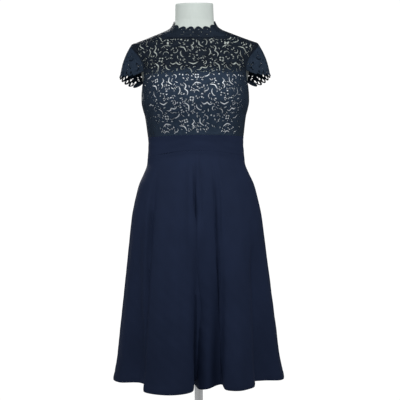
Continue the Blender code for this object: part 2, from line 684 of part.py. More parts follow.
def sleeve_surface(side):
    """The surface of one cap sleeve. Its pattern runs from the front foot to the back foot of the
    armhole, and from the armhole (0) to the hem (1)."""
    first = -SLEEVE_FRONT_STEPS * SLEEVE_STEP
    last = SLEEVE_BACK_STEPS * SLEEVE_STEP

    def seam(turn, lift):
        reach = ARMHOLE_FRONT if turn < 0 else ARMHOLE_BACK
        round_it, height = armhole(abs(turn), reach, SEAM)
        angle = math.copysign(round_it, -turn)
        if side < 0:
            angle = math.pi - angle
        return on_figure(angle, height, LACE.inner + lift)

    def hem(turn):
        share = (turn - first) / (last - first)
        front, back = seam(first, 0), seam(last, 0)
        out = math.sin(math.pi * min(max(share, 0), 1)) ** SLEEVE_FULLNESS
        chord = front.lerp(back, (1 - math.cos(math.pi * share)) / 2)
        x = between(chord.x, side * SLEEVE_TIP, out)
        drop = smooth((share - SLEEVE_DROP_START) / (1 - SLEEVE_DROP_START))
        height = SLEEVE_HEM - SLEEVE_BACK_DROP * drop
        return Vector((x + side * SLEEVE_END * (1 - out), chord.y, height))

    def surface(turn, down):
        start, end = seam(turn, 0), hem(turn)
        outward = Vector((side, 0, SLEEVE_BULGE_RISE)).normalized()
        return start.lerp(end, down) + outward * SLEEVE_BULGE * max(4 * down * (1 - down), 0)

    def place(turn, down, lift):
        thick = LACE.outer - LACE.inner
        along_seam = (seam(turn, thick) - seam(turn, 0)) / thick
        own = square_to(surface, turn, down) * side
        own *= math.copysign(1, own.dot(along_seam))
        normal = along_seam.lerp(own, smooth(down / SLEEVE_ROLL)).normalized()
        return surface(turn, down) + normal * lift

    return surface, place, first, last


def build_sleeve(name, side):
    surface, place, first, last = sleeve_surface(side)

    def length(turn):
        return (surface(turn, 1) - surface(turn, 0)).length

    steps = SLEEVE_FRONT_STEPS + SLEEVE_BACK_STEPS
    seam_edge = [(turn, 0.0) for turn in spaced(first, last, steps)]
    hem_edge = []
    for share in spaced(1, 0, SLEEVE_LOBES * 4):
        turn = between(first, last, share)
        lobe = SLEEVE_LOBE_RISE * abs(math.sin(math.pi * SLEEVE_LOBES * share))
        hem_edge.append((turn, 1 + lobe / length(turn)))
    outline = seam_edge + hem_edge
    gaps = []
    for lobe in range(1, SLEEVE_LOBES - 1):
        turn = between(first, last, (lobe + 0.5) / SLEEVE_LOBES)
        centre = (turn, 1 - SLEEVE_GAP_UP / length(turn))
        gaps.append(laid(gap_shape(SLEEVE_GAP), surface, centre))
    points, faces = cut(outline, gaps, SLEEVE_CUT, PATTERN_STEP)
    layer = Layer(0.0, LACE.outer - LACE.inner)
    wall(name, points, faces, place, layer, NAVY_LACE)


# ---------------------------------------------------------------- skirt


def fold_point(fold, down):
    """Where a fold's line is, this share of the way down the skirt."""
    row, hem = FLARE.at(down), FLARE_ROWS[-1]
    waist = math.radians(fold.waist)
    hem_reach = hem.front if fold.hem_y < 0 else hem.back
    across, forward = fold.hem_x / hem.half_width, -fold.hem_y / hem_reach
    turn = math.remainder(math.atan2(forward, across) - waist, math.tau)
    grown = max((down - fold.start) / (1 - fold.start), 0.0) ** FOLD_GROWTH
    out = 1 + (math.hypot(across, forward) - 1) * grown
    angle = waist + turn * down
    reach = row.front if math.sin(angle) > 0 else row.back
    height = between(band_foot(waist) - SEAM, HEM_HEIGHT - fold.drop, down)
    flared = Vector((row.half_width * math.cos(angle) * out, -reach * math.sin(angle) * out, height))
    return figure(angle, height).lerp(flared, smooth(down / WAIST_EASE))


def curve_through(before, start, end, after, share):
    """A point of a smooth curve between start and end, whose knots are spaced for sharp turns."""
    knots = [0.0]
    for a, b in ((before, start), (start, end), (end, after)):
        knots.append(knots[-1] + math.sqrt((b - a).length))
    t = between(knots[1], knots[2], share)

    def mix(a, b, low, high):
        return a.lerp(b, (t - knots[low]) / (knots[high] - knots[low]))

    first, middle, last = mix(before, start, 0, 1), mix(start, end, 1, 2), mix(end, after, 2, 3)
    return mix(mix(first, middle, 0, 2), mix(middle, last, 1, 3), 1, 2)


def skirt(place, down):
    """A point of the skirt: place counts the fold lines round from the left side."""
    count = len(FOLD_ROWS)
    first = math.floor(place)
    near = [fold_point(FOLD_ROWS[(first + i) % count], down) for i in (-1, 0, 1, 2)]
    return curve_through(*near, place - first)


def on_skirt(place, down, lift):
    """A point off the skirt's surface. Below the waist, the wall's inner face is the surface."""
    lift -= SKIRT.inner * smooth(down / WAIST_EASE)
    return skirt(place, down) - square_to(skirt, place, down) * lift


def drawn_in(place, down, towards, width):
    """A place beside a seam, this width of cloth away from it."""
    speed = (skirt(place + NUDGE, down) - skirt(place - NUDGE, down)).length / (2 * NUDGE)
    return place + towards * width / speed


def build_skirt_panel(name, start, end, widths):
    """A skirt panel between two seams. Widths gives the cloth left free at each seam, at each row."""
    count = (end - start) * SKIRT_COLUMNS
    points = []
    for down in SKIRT_DOWN:
        first = drawn_in(start, down, 1, widths[0](down))
        last = drawn_in(end, down, -1, widths[1](down))
        inner = [start + i / SKIRT_COLUMNS for i in range(1, count)]
        points += [(place, down) for place in (first, *inner, last)]
    wall(name, points, grid(count + 1, len(SKIRT_DOWN)), on_skirt, SKIRT, NAVY_CREPE)


def build_skirt():
    right, back = FOLD_NAMES.index("right_side_crest"), FOLD_NAMES.index("centre_back_crest")

    def plain(down):
        return SEAM / 2

    def beside_zip(down):
        return ZIP_HALF_WIDTH + SEAM if down <= ZIP_DOWN else SEAM / 2

    build_skirt_panel("skirt_front", 0, right, (plain, plain))
    build_skirt_panel("skirt_back_right", right, back, (plain, beside_zip))
    build_skirt_panel("skirt_back_left", back, len(FOLD_ROWS), (beside_zip, plain))


# ---------------------------------------------------------------- zip


def zip_row(height):
    """The zip's line on the bodice and the waistband."""
    return figure(BACK, height), square_to(figure, BACK, height)


def zip_row_on_skirt(down):
    place = FOLD_NAMES.index("centre_back_crest")
    return skirt(place, down), -square_to(skirt, place, down)


def build_zip_tape():
    rows = [zip_row_on_skirt(down) for down in SKIRT_DOWN[::-1] if 0 < down <= ZIP_DOWN]
    foot = band_foot(BACK)
    heights = [foot, *spaced(band_top(BACK), NECK_BACK, ZIP_ROWS), ZIP_TOP]
    rows += [zip_row(height) for height in heights]

    def place(across, row, lift):
        middle, outward = rows[row]
        return middle + Vector((across, 0, 0)) + outward * lift

    points = [(across, row) for row in range(len(rows)) for across in (ZIP_HALF_WIDTH, -ZIP_HALF_WIDTH)]
    wall("zip_tape", points, grid(2, len(rows)), place, ZIP_TAPE, NAVY_TAPE)


def zip_frame(height, lift):
    """Axes on the zip: X to the dress's left, Y up along the zip, Z out of the cloth."""
    middle, outward = zip_row(height)
    across = Vector((-1, 0, 0))
    turn = Matrix((across, outward.cross(across), outward)).transposed().to_4x4()
    return Matrix.Translation(middle + outward * lift) @ turn


def rectangle(half_width, low, high, corner=0.0):
    """A rectangle about the middle line, its corners cut off where corner isn't 0."""
    if not corner:
        return [(-half_width, low), (half_width, low), (half_width, high), (-half_width, high)]
    inset = half_width - corner
    return [
        (-inset, low),
        (inset, low),
        (half_width, low + corner),
        (half_width, high - corner),
        (inset, high),
        (-inset, high),
        (-half_width, high - corner),
        (-half_width, low + corner),
    ]


def plate(name, outline, holes, limits, finish):
    """A flat plate with holes in its object's XY plane, between two limits in Z."""
    no_inner_points = 1.0
    points, faces = cut(outline, holes, (1.0, 1.0), no_inner_points)
    return wall(name, points, faces, lambda x, y, z: Vector((x, y, z)), limits, finish)


def build_slider():
    """The zip's slider: a flat body with a narrow bridge, which the pull tab's eye hangs on."""
    frame = zip_frame(SLIDER_HEIGHT, ZIP_TAPE.outer + SEAM)
    half = SLIDER_LENGTH / 2
    outline = rectangle(SLIDER_WIDTH / 2, -half, half, PLATE_CORNER)
    slider = plate("zip_slider", outline, [], (0.0, SLIDER_THICK), DARK_METAL)
    slider.matrix_world = frame

    half = BRIDGE_LENGTH / 2
    top = SLIDER_THICK + BRIDGE_RISE
    arch = rectangle(half, SLIDER_THICK / 2, top, BRIDGE_THICK / 2)
    hollow = rectangle(half - BRIDGE_THICK, SLIDER_THICK, top - BRIDGE_THICK)
    bridge = plate("zip_slider_bridge", arch, [hollow], (-BRIDGE_WIDTH / 2, BRIDGE_WIDTH / 2), DARK_METAL)
    on_edge = Matrix(((0, 0, 1), (1, 0, 0), (0, 1, 0))).to_4x4()
    bridge.matrix_world = frame @ on_edge
    bridge.hide_render = True
    bridge.display_type = "WIRE"
    join = slider.modifiers.new("bridge", "BOOLEAN")
    join.operation = "UNION"
    join.object = bridge


def build_pull_tab():
    """The pull tab. Its origin is on its hinge: the top bar of its eye, inside the slider's bridge."""
    bar = TAB_THICK / 2
    hinge_down = BRIDGE_LENGTH / 2 - BRIDGE_THICK - bar - SEAM
    hinge_out = SLIDER_THICK + (BRIDGE_RISE - BRIDGE_THICK) / 2
    frame = zip_frame(SLIDER_HEIGHT, ZIP_TAPE.outer + SEAM)
    outline = rectangle(TAB_WIDTH / 2, bar - TAB_LENGTH, bar, PLATE_CORNER)
    eye = rectangle(TAB_EYE_WIDTH / 2, -bar - TAB_EYE_LENGTH, -bar)
    tab = plate("zip_pull_tab", outline, [eye], (-bar, bar), DARK_METAL)
    tab.matrix_world = frame @ Matrix.Translation((0, -hinge_down, hinge_out))


# ---------------------------------------------------------------- form and stand


def build_form():
    """The limbless form: rings from its closed foot to the flat top of its neck."""
    body = bmesh.new()
    angles = [i * math.tau / COLUMNS for i in range(COLUMNS)]
    rings = []
    for height in FORM_HEIGHTS:
        points = [figure(angle, height) for angle in angles]
        ease = TIP_EASE * math.exp(-(((height - SHOULDER_POINT) / TIP_SPREAD) ** 2))
        for point, angle in zip(points, angles):
            point.x -= ease * math.cos(angle) ** 5
        if height == FORM_HEIGHTS[-1]:
            points = [point + Vector((0, 0, NECK_CAP_LEAN * point.y)) for point in points]
        rings.append([body.verts.new(point) for point in points])
    bridge_rings(body, rings)
    add_object("dress_form", body, FORM_COVER)


def bridge_rings(body, rings):
    """Triangles between rings of vertices, with the first and last rings closed."""
    for low, high in zip(rings, rings[1:]):
        for i in range(len(low)):
            after = (i + 1) % len(low)
            body.faces.new([low[i], low[after], high[after]])
            body.faces.new([low[i], high[after], high[i]])
    body.faces.new(rings[0][::-1])
    body.faces.new(rings[-1])


def build_turned(name, profile, sides, finish):
    """A turned piece: a ring for each radius and height of its profile, from the bottom up."""
    body = bmesh.new()
    rings = []
    for radius, height in profile:
        turns = [i * math.tau / sides for i in range(sides)]
        rings.append([body.verts.new((radius * math.cos(t), radius * math.sin(t), height)) for t in turns])
    bridge_rings(body, rings)
    add_object(name, body, finish)


def build_stand():
    form_foot = FIGURE_ROWS[0].height - SEAM
    pole = (
        (POLE_RADIUS, HUB_TOP + SEAM),
        (POLE_RADIUS, form_foot - FLANGE_THICK),
        (FLANGE_RADIUS, form_foot - FLANGE_THICK),
        (FLANGE_RADIUS, form_foot),
    )
    base = (
        (BASE_RADIUS - BASE_EDGE, 0.0),
        (BASE_RADIUS, BASE_EDGE),
        (BASE_RADIUS, BASE_THICK - BASE_EDGE),
        (BASE_RADIUS - BASE_EDGE, BASE_THICK),
        (HUB_RADIUS + BASE_EDGE, BASE_THICK),
        (HUB_RADIUS, BASE_THICK + BASE_EDGE),
        (HUB_RADIUS, HUB_TOP - BASE_EDGE),
        (HUB_RADIUS - BASE_EDGE, HUB_TOP),
    )
    build_turned("pole", pole, POLE_SIDES, STEEL)
    build_turned("base_plate", base, BASE_SIDES, STEEL)


def main():
    for old in list(bpy.data.objects):
        bpy.data.objects.remove(old, do_unlink=True)
    build_form()
    build_stand()
    build_lining()
    build_lace()
    build_collar()
    build_sleeve("sleeve_left", 1)
    build_sleeve("sleeve_right", -1)
    build_waistband()
    build_skirt()
    build_zip_tape()
    build_slider()
    build_pull_tab()


main()
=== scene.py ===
# %% [markdown]
# # A cocktail dress on a dress form
#
# The dress has a bodice, cap sleeves and a stand-up collar of heavy navy lace, a pale satin lining
# that shows through the lace, a plain crepe waistband and a flared crepe skirt. It hangs on a
# limbless dress form on a pole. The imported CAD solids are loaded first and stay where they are.
# Everything soft is then built again as a thin, detailed shell in the same place.

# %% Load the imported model
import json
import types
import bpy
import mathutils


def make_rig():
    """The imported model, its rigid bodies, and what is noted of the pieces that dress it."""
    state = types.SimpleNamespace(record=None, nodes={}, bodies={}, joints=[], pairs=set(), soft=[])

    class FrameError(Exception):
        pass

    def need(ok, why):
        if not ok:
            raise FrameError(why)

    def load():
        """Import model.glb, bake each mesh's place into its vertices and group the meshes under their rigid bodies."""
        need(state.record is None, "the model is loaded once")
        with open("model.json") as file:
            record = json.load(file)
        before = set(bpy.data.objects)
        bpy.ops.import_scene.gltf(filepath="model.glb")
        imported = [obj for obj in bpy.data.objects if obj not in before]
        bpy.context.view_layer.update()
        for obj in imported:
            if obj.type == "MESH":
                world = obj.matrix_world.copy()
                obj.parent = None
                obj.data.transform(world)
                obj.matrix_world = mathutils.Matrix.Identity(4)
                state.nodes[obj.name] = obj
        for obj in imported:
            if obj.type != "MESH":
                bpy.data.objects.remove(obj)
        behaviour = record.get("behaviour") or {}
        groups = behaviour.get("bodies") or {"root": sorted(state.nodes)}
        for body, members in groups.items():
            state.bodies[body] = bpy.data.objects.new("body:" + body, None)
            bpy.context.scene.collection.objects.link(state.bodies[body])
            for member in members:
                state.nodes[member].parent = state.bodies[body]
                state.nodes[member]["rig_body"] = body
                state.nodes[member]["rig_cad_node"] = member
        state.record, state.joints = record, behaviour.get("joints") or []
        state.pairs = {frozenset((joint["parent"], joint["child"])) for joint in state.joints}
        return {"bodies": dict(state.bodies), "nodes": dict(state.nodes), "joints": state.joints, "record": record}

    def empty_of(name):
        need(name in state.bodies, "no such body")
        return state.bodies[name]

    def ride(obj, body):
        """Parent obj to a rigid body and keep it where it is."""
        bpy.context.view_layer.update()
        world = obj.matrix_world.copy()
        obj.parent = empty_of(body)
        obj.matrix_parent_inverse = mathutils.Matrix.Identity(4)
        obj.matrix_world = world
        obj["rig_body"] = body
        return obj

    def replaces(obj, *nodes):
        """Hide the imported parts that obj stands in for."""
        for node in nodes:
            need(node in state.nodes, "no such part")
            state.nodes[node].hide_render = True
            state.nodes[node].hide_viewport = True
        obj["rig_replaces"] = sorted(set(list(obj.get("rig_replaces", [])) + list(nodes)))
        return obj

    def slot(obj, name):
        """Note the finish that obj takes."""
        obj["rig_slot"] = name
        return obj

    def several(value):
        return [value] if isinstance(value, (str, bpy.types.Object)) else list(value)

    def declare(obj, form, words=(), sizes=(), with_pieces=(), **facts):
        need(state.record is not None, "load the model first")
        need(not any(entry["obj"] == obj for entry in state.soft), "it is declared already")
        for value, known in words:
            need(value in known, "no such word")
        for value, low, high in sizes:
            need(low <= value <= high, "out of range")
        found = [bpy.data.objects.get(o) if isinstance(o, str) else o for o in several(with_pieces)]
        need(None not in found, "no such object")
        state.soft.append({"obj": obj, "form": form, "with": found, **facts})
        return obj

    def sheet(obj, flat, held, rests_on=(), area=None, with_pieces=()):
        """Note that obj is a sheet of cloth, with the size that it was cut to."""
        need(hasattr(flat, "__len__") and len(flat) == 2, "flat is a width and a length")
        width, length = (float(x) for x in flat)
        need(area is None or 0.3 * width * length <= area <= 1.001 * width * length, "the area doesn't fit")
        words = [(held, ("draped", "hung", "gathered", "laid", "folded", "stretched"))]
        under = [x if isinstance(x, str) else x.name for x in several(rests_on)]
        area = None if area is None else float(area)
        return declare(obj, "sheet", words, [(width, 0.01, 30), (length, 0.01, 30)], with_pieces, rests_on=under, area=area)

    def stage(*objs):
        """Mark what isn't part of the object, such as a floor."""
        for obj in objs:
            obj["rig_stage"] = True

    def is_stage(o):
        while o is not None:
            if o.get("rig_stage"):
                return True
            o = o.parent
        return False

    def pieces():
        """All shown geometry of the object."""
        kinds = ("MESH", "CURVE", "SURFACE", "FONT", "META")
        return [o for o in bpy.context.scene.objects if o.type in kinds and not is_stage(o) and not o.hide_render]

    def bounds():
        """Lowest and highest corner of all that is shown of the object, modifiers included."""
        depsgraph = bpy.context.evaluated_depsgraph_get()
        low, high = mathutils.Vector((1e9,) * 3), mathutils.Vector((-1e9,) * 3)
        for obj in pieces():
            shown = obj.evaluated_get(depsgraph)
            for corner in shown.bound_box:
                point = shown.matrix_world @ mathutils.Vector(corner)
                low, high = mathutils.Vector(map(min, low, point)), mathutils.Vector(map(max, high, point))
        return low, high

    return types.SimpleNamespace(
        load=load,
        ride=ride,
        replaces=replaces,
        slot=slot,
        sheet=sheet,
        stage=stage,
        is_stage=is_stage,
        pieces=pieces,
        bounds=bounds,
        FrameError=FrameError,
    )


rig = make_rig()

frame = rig.load()

import json
import math
from collections import namedtuple

import bmesh
import bpy
import numpy as np
from mathutils import Vector, kdtree
from mathutils.geometry import delaunay_2d_cdt

CAD_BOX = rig.bounds()
print("CAD nodes:", len(frame["nodes"]), "bodies:", sorted(frame["bodies"]))

# %% [markdown]
# ## The camera
#
# A full-length dress is looked at from its own height and from a few metres away, so that the neck
# and the hem keep their true sizes. A long lens does the same as standing far back. The camera looks
# level at the middle of the dress, and it leans by less than a degree. Plain colours are wanted, so
# the standard view keeps them as they are lit.

# %% Camera
CAMERA_PLACE, CAMERA_LENS, CAMERA_LEAN = (0.0098, -4.2, 0.93), 135, -0.665

camera_data = bpy.data.cameras.new("camera")
camera_data.lens = CAMERA_LENS
camera = bpy.data.objects.new("camera", camera_data)
camera.location = CAMERA_PLACE
camera.rotation_euler = (math.radians(90), 0, 0)
camera.rotation_euler.rotate_axis("Z", math.radians(CAMERA_LEAN))
bpy.context.scene.collection.objects.link(camera)
bpy.context.scene.camera = camera
bpy.context.scene.view_settings.view_transform = "Standard"
print("camera at", tuple(round(x, 3) for x in camera.location))

# %% [markdown]
# ## Light
#
# Dark cloth needs a lot of soft light, or its folds vanish. A white surround is seen behind the
# dress, but lights it only dimly, so that the lamps shape the folds. The key lamp is high and near the
# middle, so it reaches into the folds and fades towards the hem. A lamp on each side makes the
# dress's sides a little lighter than its middle, and one behind lights the back. The floor is made
# with the stand, further down.

# %% Light
SURROUND_LIGHT, SURROUND_SEEN = 0.13, 1.05
world = bpy.data.worlds.new("surround")
world.use_nodes = True
nodes, links = world.node_tree.nodes, world.node_tree.links
lighting, seen = nodes["Background"], nodes.new("ShaderNodeBackground")
lighting.inputs["Color"].default_value = seen.inputs["Color"].default_value = (1, 1, 1, 1)
lighting.inputs["Strength"].default_value = SURROUND_LIGHT
seen.inputs["Strength"].default_value = SURROUND_SEEN
choice = nodes.new("ShaderNodeMixShader")
links.new(nodes.new("ShaderNodeLightPath").outputs["Is Camera Ray"], choice.inputs[0])
links.new(lighting.outputs[0], choice.inputs[1])
links.new(seen.outputs[0], choice.inputs[2])
links.new(choice.outputs[0], nodes["World Output"].inputs["Surface"])
bpy.context.scene.world = world

Lamp = namedtuple("Lamp", "name place aim size power spread")
LAMPS = (
    Lamp("key", (0.15, -2.4, 2.40), (0, 0, 1.50), 1.1, 7.4, 75),
    Lamp("left", (-2.3, -1.35, 2.15), (0, 0, 1.45), 1.4, 7.8, 75),
    Lamp("right", (2.3, -1.25, 2.15), (0, 0, 1.45), 1.4, 7.8, 75),
    Lamp("back", (-0.6, 2.4, 2.3), (0, 0, 1.20), 1.6, 24, 110),
)
for lamp in LAMPS:
    data = bpy.data.lights.new(lamp.name, "AREA")
    data.size, data.energy, data.spread = lamp.size, lamp.power, math.radians(lamp.spread)
    made = bpy.data.objects.new(lamp.name, data)
    made.location = lamp.place
    made.rotation_euler = (Vector(lamp.aim) - made.location).to_track_quat("-Z", "Y").to_euler()
    bpy.context.scene.collection.objects.link(made)
print("lamps:", [lamp.name for lamp in LAMPS])

# %% [markdown]
# ## Writing materials as sums
#
# A procedural material is a sum of masks and textures, so it reads best as a sum. `Value` wraps one
# output socket, and its operators add Math nodes. `Surface` makes a material and adds any other
# node: its type, its settings, then the values or links of its sockets.

# %% Material helpers
WAVE_SPACING = math.tau / 20  # how far apart a wave texture's ridges are at a scale of 1
COLOUR_MIX_OUT = 2  # the colour output of a Mix node, whose outputs all have one name


class Value:
    """An output socket that can be used in a sum."""

    def __init__(self, surface, socket):
        self.surface, self.socket = surface, socket

    def maths(self, operation, *values):
        return self.surface.node("Math", {"operation": operation}, dict(enumerate(values)))

    def __add__(self, other):
        return self.maths("ADD", self, other)

    def __sub__(self, other):
        return self.maths("SUBTRACT", self, other)

    def __rsub__(self, other):
        return self.maths("SUBTRACT", other, self)

    def __mul__(self, other):
        return self.maths("MULTIPLY", self, other)

    __radd__, __rmul__ = __add__, __mul__


class Surface:
    """A material named for its finish, with one Principled shader."""

    def __init__(self, name, **sockets):
        self.material = bpy.data.materials.new(name)
        self.material.use_nodes = True
        self.tree = self.material.node_tree
        self.shader = self.tree.nodes["Principled BSDF"]
        for socket, value in sockets.items():
            title = socket.replace("_", " ").title().replace("Ior", "IOR")
            self.feed(self.shader.inputs[title], value)

    def feed(self, socket, value):
        if isinstance(value, Value):
            self.tree.links.new(value.socket, socket)
        else:
            socket.default_value = value

    def node(self, kind, settings, values, output=0):
        made = self.tree.nodes.new("ShaderNode" + kind)
        for name, value in settings.items():
            setattr(made, name, value)
        for name, value in values.items():
            self.feed(made.inputs[name], value)
        return Value(self, made.outputs[output])

    def place(self):
        """Where a point is, in metres."""
        return self.node("TexCoord", {}, {}, "Object")

    def cloth(self):
        """Where a point is on its flat pattern piece, in metres."""
        return self.node("Attribute", {"attribute_name": "cloth"}, {}, "Vector")

    def noise(self, vector, scale, detail=2.0):
        return self.node("TexNoise", {}, {"Vector": vector, "Scale": scale, "Detail": detail})

    def bands(self, vector, spacing, distortion, direction="X"):
        """Ridges that far apart, in metres."""
        values = {"Vector": vector, "Scale": WAVE_SPACING / spacing, "Distortion": distortion,
                  "Detail Scale": 2.0}
        return self.node("TexWave", {"bands_direction": direction}, values, "Fac")

    def ramp(self, value, low, high):
        """0 below low, 1 above high, and straight between."""
        return self.node("MapRange", {}, {"Value": value, "From Min": low, "From Max": high})

    def tint(self, share, first, second):
        """A colour between two."""
        return self.node("Mix", {"data_type": "RGBA"}, {0: share, 6: first, 7: second}, COLOUR_MIX_OUT)

    def relief(self, height, depth):
        """A bump whose full height is depth, in metres."""
        bump = self.node("Bump", {}, {"Strength": 1.0, "Distance": depth, "Height": height})
        self.feed(self.shader.inputs["Normal"], bump)

    def paint(self, colour):
        self.feed(self.shader.inputs["Base Color"], colour)

    def polish(self, roughness):
        self.feed(self.shader.inputs["Roughness"], roughness)


# %% [markdown]
# ## The finishes
#
# Guipure lace is thick machine embroidery, so its thread lies in satin stitches with a soft gloss.
# Where pale satin lies behind it, painted light makes the lace paler, for light coming back through it.
# Crepe is woven from hard-twisted yarn that shrinks up into a fine pebbled grain, which scatters
# light and looks matte. The lining is a plain satin. The form has a smooth matte cover, and the
# stand is polished steel. All grain is given in metres, so that it has its real scale.

# %% Cloth finishes
def navy_lace():
    made = Surface("navy_lace", specular_ior_level=0.05)
    cloth = made.cloth()
    stitches = made.bands(cloth, spacing=0.00042, distortion=5.0, direction="DIAGONAL")
    patches = made.ramp(made.noise(cloth, scale=60.0, detail=3.0), 0.35, 0.65)
    # Painted light: the third pattern coordinate is the share of light from behind that is painted into the lace.
    bounce_share = made.node("SeparateXYZ", {}, {"Vector": cloth}, "Z")
    alone = made.tint(patches, (0.0068, 0.0106, 0.0176, 1), (0.0098, 0.0152, 0.0245, 1))
    # The lace lit by painted light from the satin behind it.
    bounce_lit_lace = made.tint(patches, (0.0180, 0.0310, 0.0520, 1), (0.0250, 0.0410, 0.0690, 1))
    made.paint(made.tint(bounce_share, alone, bounce_lit_lace))
    made.polish(0.62 - 0.14 * stitches)
    made.relief(stitches + 0.5 * made.noise(cloth, scale=1400.0), depth=0.00018)
    return made.material


def navy_crepe():
    made = Surface("navy_crepe", specular_ior_level=0.08)
    place = made.place()
    grain = made.noise(place, scale=1500.0, detail=3.0)
    drift = made.ramp(made.noise(place, scale=9.0), 0.35, 0.65)
    made.paint(made.tint(drift, (0.0105, 0.0176, 0.0430, 1), (0.0125, 0.0206, 0.0500, 1)))
    made.polish(0.80 - 0.12 * grain)
    made.relief(grain, depth=0.00022)
    return made.material


def pale_satin():
    made = Surface("pale_satin", sheen_weight=0.15, sheen_roughness=0.35)
    place = made.place()
    threads = made.bands(place, spacing=0.0005, distortion=1.5)
    drift = made.noise(place, scale=30.0)
    made.paint(made.tint(drift, (0.82, 0.87, 0.92, 1), (0.88, 0.92, 0.96, 1)))
    made.polish(0.42 + 0.12 * drift)
    made.relief(threads, depth=0.00006)
    return made.material


def navy_tape():
    made = Surface("navy_tape", specular_ior_level=0.12)
    ribs = made.bands(made.place(), spacing=0.0007, distortion=0.4, direction="Z")
    made.paint(made.tint(ribs, (0.009, 0.012, 0.026, 1), (0.014, 0.019, 0.040, 1)))
    made.polish(0.72 - 0.10 * ribs)
    made.relief(ribs, depth=0.00012)
    return made.material


LACE_CLOTH, CREPE, SATIN, TAPE = navy_lace(), navy_crepe(), pale_satin(), navy_tape()
print("cloth finishes:", [finish.name for finish in (LACE_CLOTH, CREPE, SATIN, TAPE)])


# %% Finishes of the form, the metal and the floor
def form_cover():
    made = Surface("form_cover", specular_ior_level=0.35)
    place = made.place()
    weave = made.bands(place, 0.0008, 0.6, "Z") + made.bands(place, 0.0008, 0.6, "X")
    drift = made.noise(place, scale=14.0, detail=3.0)
    made.paint(made.tint(made.ramp(drift, 0.3, 0.7), (0.520, 0.575, 0.545, 1), (0.550, 0.605, 0.575, 1)))
    made.polish(0.62 + 0.10 * drift)
    made.relief(weave, depth=0.00005)
    return made.material


def dark_metal():
    made = Surface("dark_metal", metallic=0.6)
    wear = made.ramp(made.noise(made.place(), scale=700.0, detail=4.0), 0.55, 0.75)
    made.paint(made.tint(wear, (0.020, 0.026, 0.045, 1), (0.16, 0.17, 0.19, 1)))
    made.polish(0.34 + 0.18 * wear)
    return made.material


def polished_steel():
    made = Surface("polished_steel", metallic=1.0)
    drawn_out = made.node("Mapping", {}, {"Vector": made.place(), "Scale": (40.0, 40.0, 900.0)})
    brushed = made.noise(drawn_out, scale=1.0, detail=3.0)
    made.paint(made.tint(brushed, (0.50, 0.51, 0.52, 1), (0.62, 0.63, 0.64, 1)))
    made.polish(0.16 + 0.14 * brushed)
    return made.material


def pale_floor():
    made = Surface("pale_floor", specular_ior_level=0.1, emission_strength=0.30)
    made.feed(made.shader.inputs["Emission Color"], (1, 1, 1, 1))
    specks = made.noise(made.place(), scale=6.0, detail=4.0)
    made.paint(made.tint(specks, (0.86, 0.86, 0.86, 1), (0.90, 0.90, 0.90, 1)))
    made.polish(0.85 + 0.1 * specks)
    return made.material


COVER, METAL, STEEL, FLOOR = form_cover(), dark_metal(), polished_steel(), pale_floor()
print("finishes in all:", len(bpy.data.materials))

# %% [markdown]
# ## Thin shells
#
# Each cloth piece is a closed wall about a millimetre thick. Its two faces share the points along
# every free edge, and a strip of small faces joins them there. A mesh made so has no open edge, so
# it looks right from inside the dress as well.

# %% Shells
def add_mesh(name, points, faces, finish, slot, cloth=None, sharp=50):
    mesh = bpy.data.meshes.new(name)
    mesh.from_pydata(np.asarray(points).tolist(), [], [list(face) for face in faces])
    body = bmesh.new()
    body.from_mesh(mesh)
    bmesh.ops.recalc_face_normals(body, faces=body.faces)
    body.to_mesh(mesh)
    body.free()
    if cloth is not None:
        flat = np.zeros((len(points), 3), np.float32)
        flat[:, :cloth.shape[1]] = cloth
        mesh.attributes.new("cloth", "FLOAT_VECTOR", "POINT").data.foreach_set("vector", flat.ravel())
    mesh.materials.append(finish)
    mesh.shade_smooth()
    mesh.set_sharp_from_angle(angle=math.radians(sharp))
    made = bpy.data.objects.new(name, mesh)
    bpy.context.scene.collection.objects.link(made)
    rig.slot(made, slot)
    return made


def free_edges(faces):
    """The edges that only one face uses, each in that face's direction."""
    edges = np.concatenate([faces[:, [0, 1]], faces[:, [1, 2]], faces[:, [2, 0]]])
    size = edges.max() + 1
    codes, back = edges[:, 0] * size + edges[:, 1], edges[:, 1] * size + edges[:, 0]
    return edges[~np.isin(codes, back)]


def add_shell(name, outer, inner, faces, finish, slot, inner_faces=None, cloth=None, sharp=50):
    """A wall between two sheets, whose points along the free edges are numbered alike."""
    inner_faces = faces if inner_faces is None else inner_faces
    start, end = free_edges(faces).T
    shift = len(outer)
    rim = np.concatenate([
        np.stack([end, start, start + shift], axis=1),
        np.stack([end, start + shift, end + shift], axis=1),
    ])
    points = np.concatenate([outer, inner])
    every = np.concatenate([faces, inner_faces[:, ::-1] + shift, rim])
    return add_mesh(name, points, every, finish, slot, cloth, sharp)


def grid(rows, columns, closed=False):
    """The triangles of a grid of points that runs row by row."""
    faces = []
    last = columns if closed else columns - 1
    for row in range(rows - 1):
        for column in range(last):
            a, b = row * columns + column, row * columns + (column + 1) % columns
            faces += [[a, b, b + columns], [a, b + columns, a + columns]]
    return np.array(faces)


def smooth(share):
    share = np.clip(share, 0.0, 1.0)
    return share * share * (3 - 2 * share)


def between(low, high, share):
    return low + (high - low) * share


def triangles(obj):
    return sum(len(face.vertices) - 2 for face in obj.data.polygons)


# %% [markdown]
# ## The figure that the dress is cut for
#
# All the layers lie on one surface, the dress form's. It is a stack of level sections, each half an
# oval in front and half an oval behind, with a soft rise for the bust. A short table gives the
# sections, and a smooth curve that never overshoots joins its rows. The same table drives the CAD
# solids, so the new shells land on them with no fitting.

# %% The figure
SEAM, NUDGE = 0.0003, 1e-4
LEFT, FRONT, RIGHT, BACK = np.radians((0, 90, 180, 270))

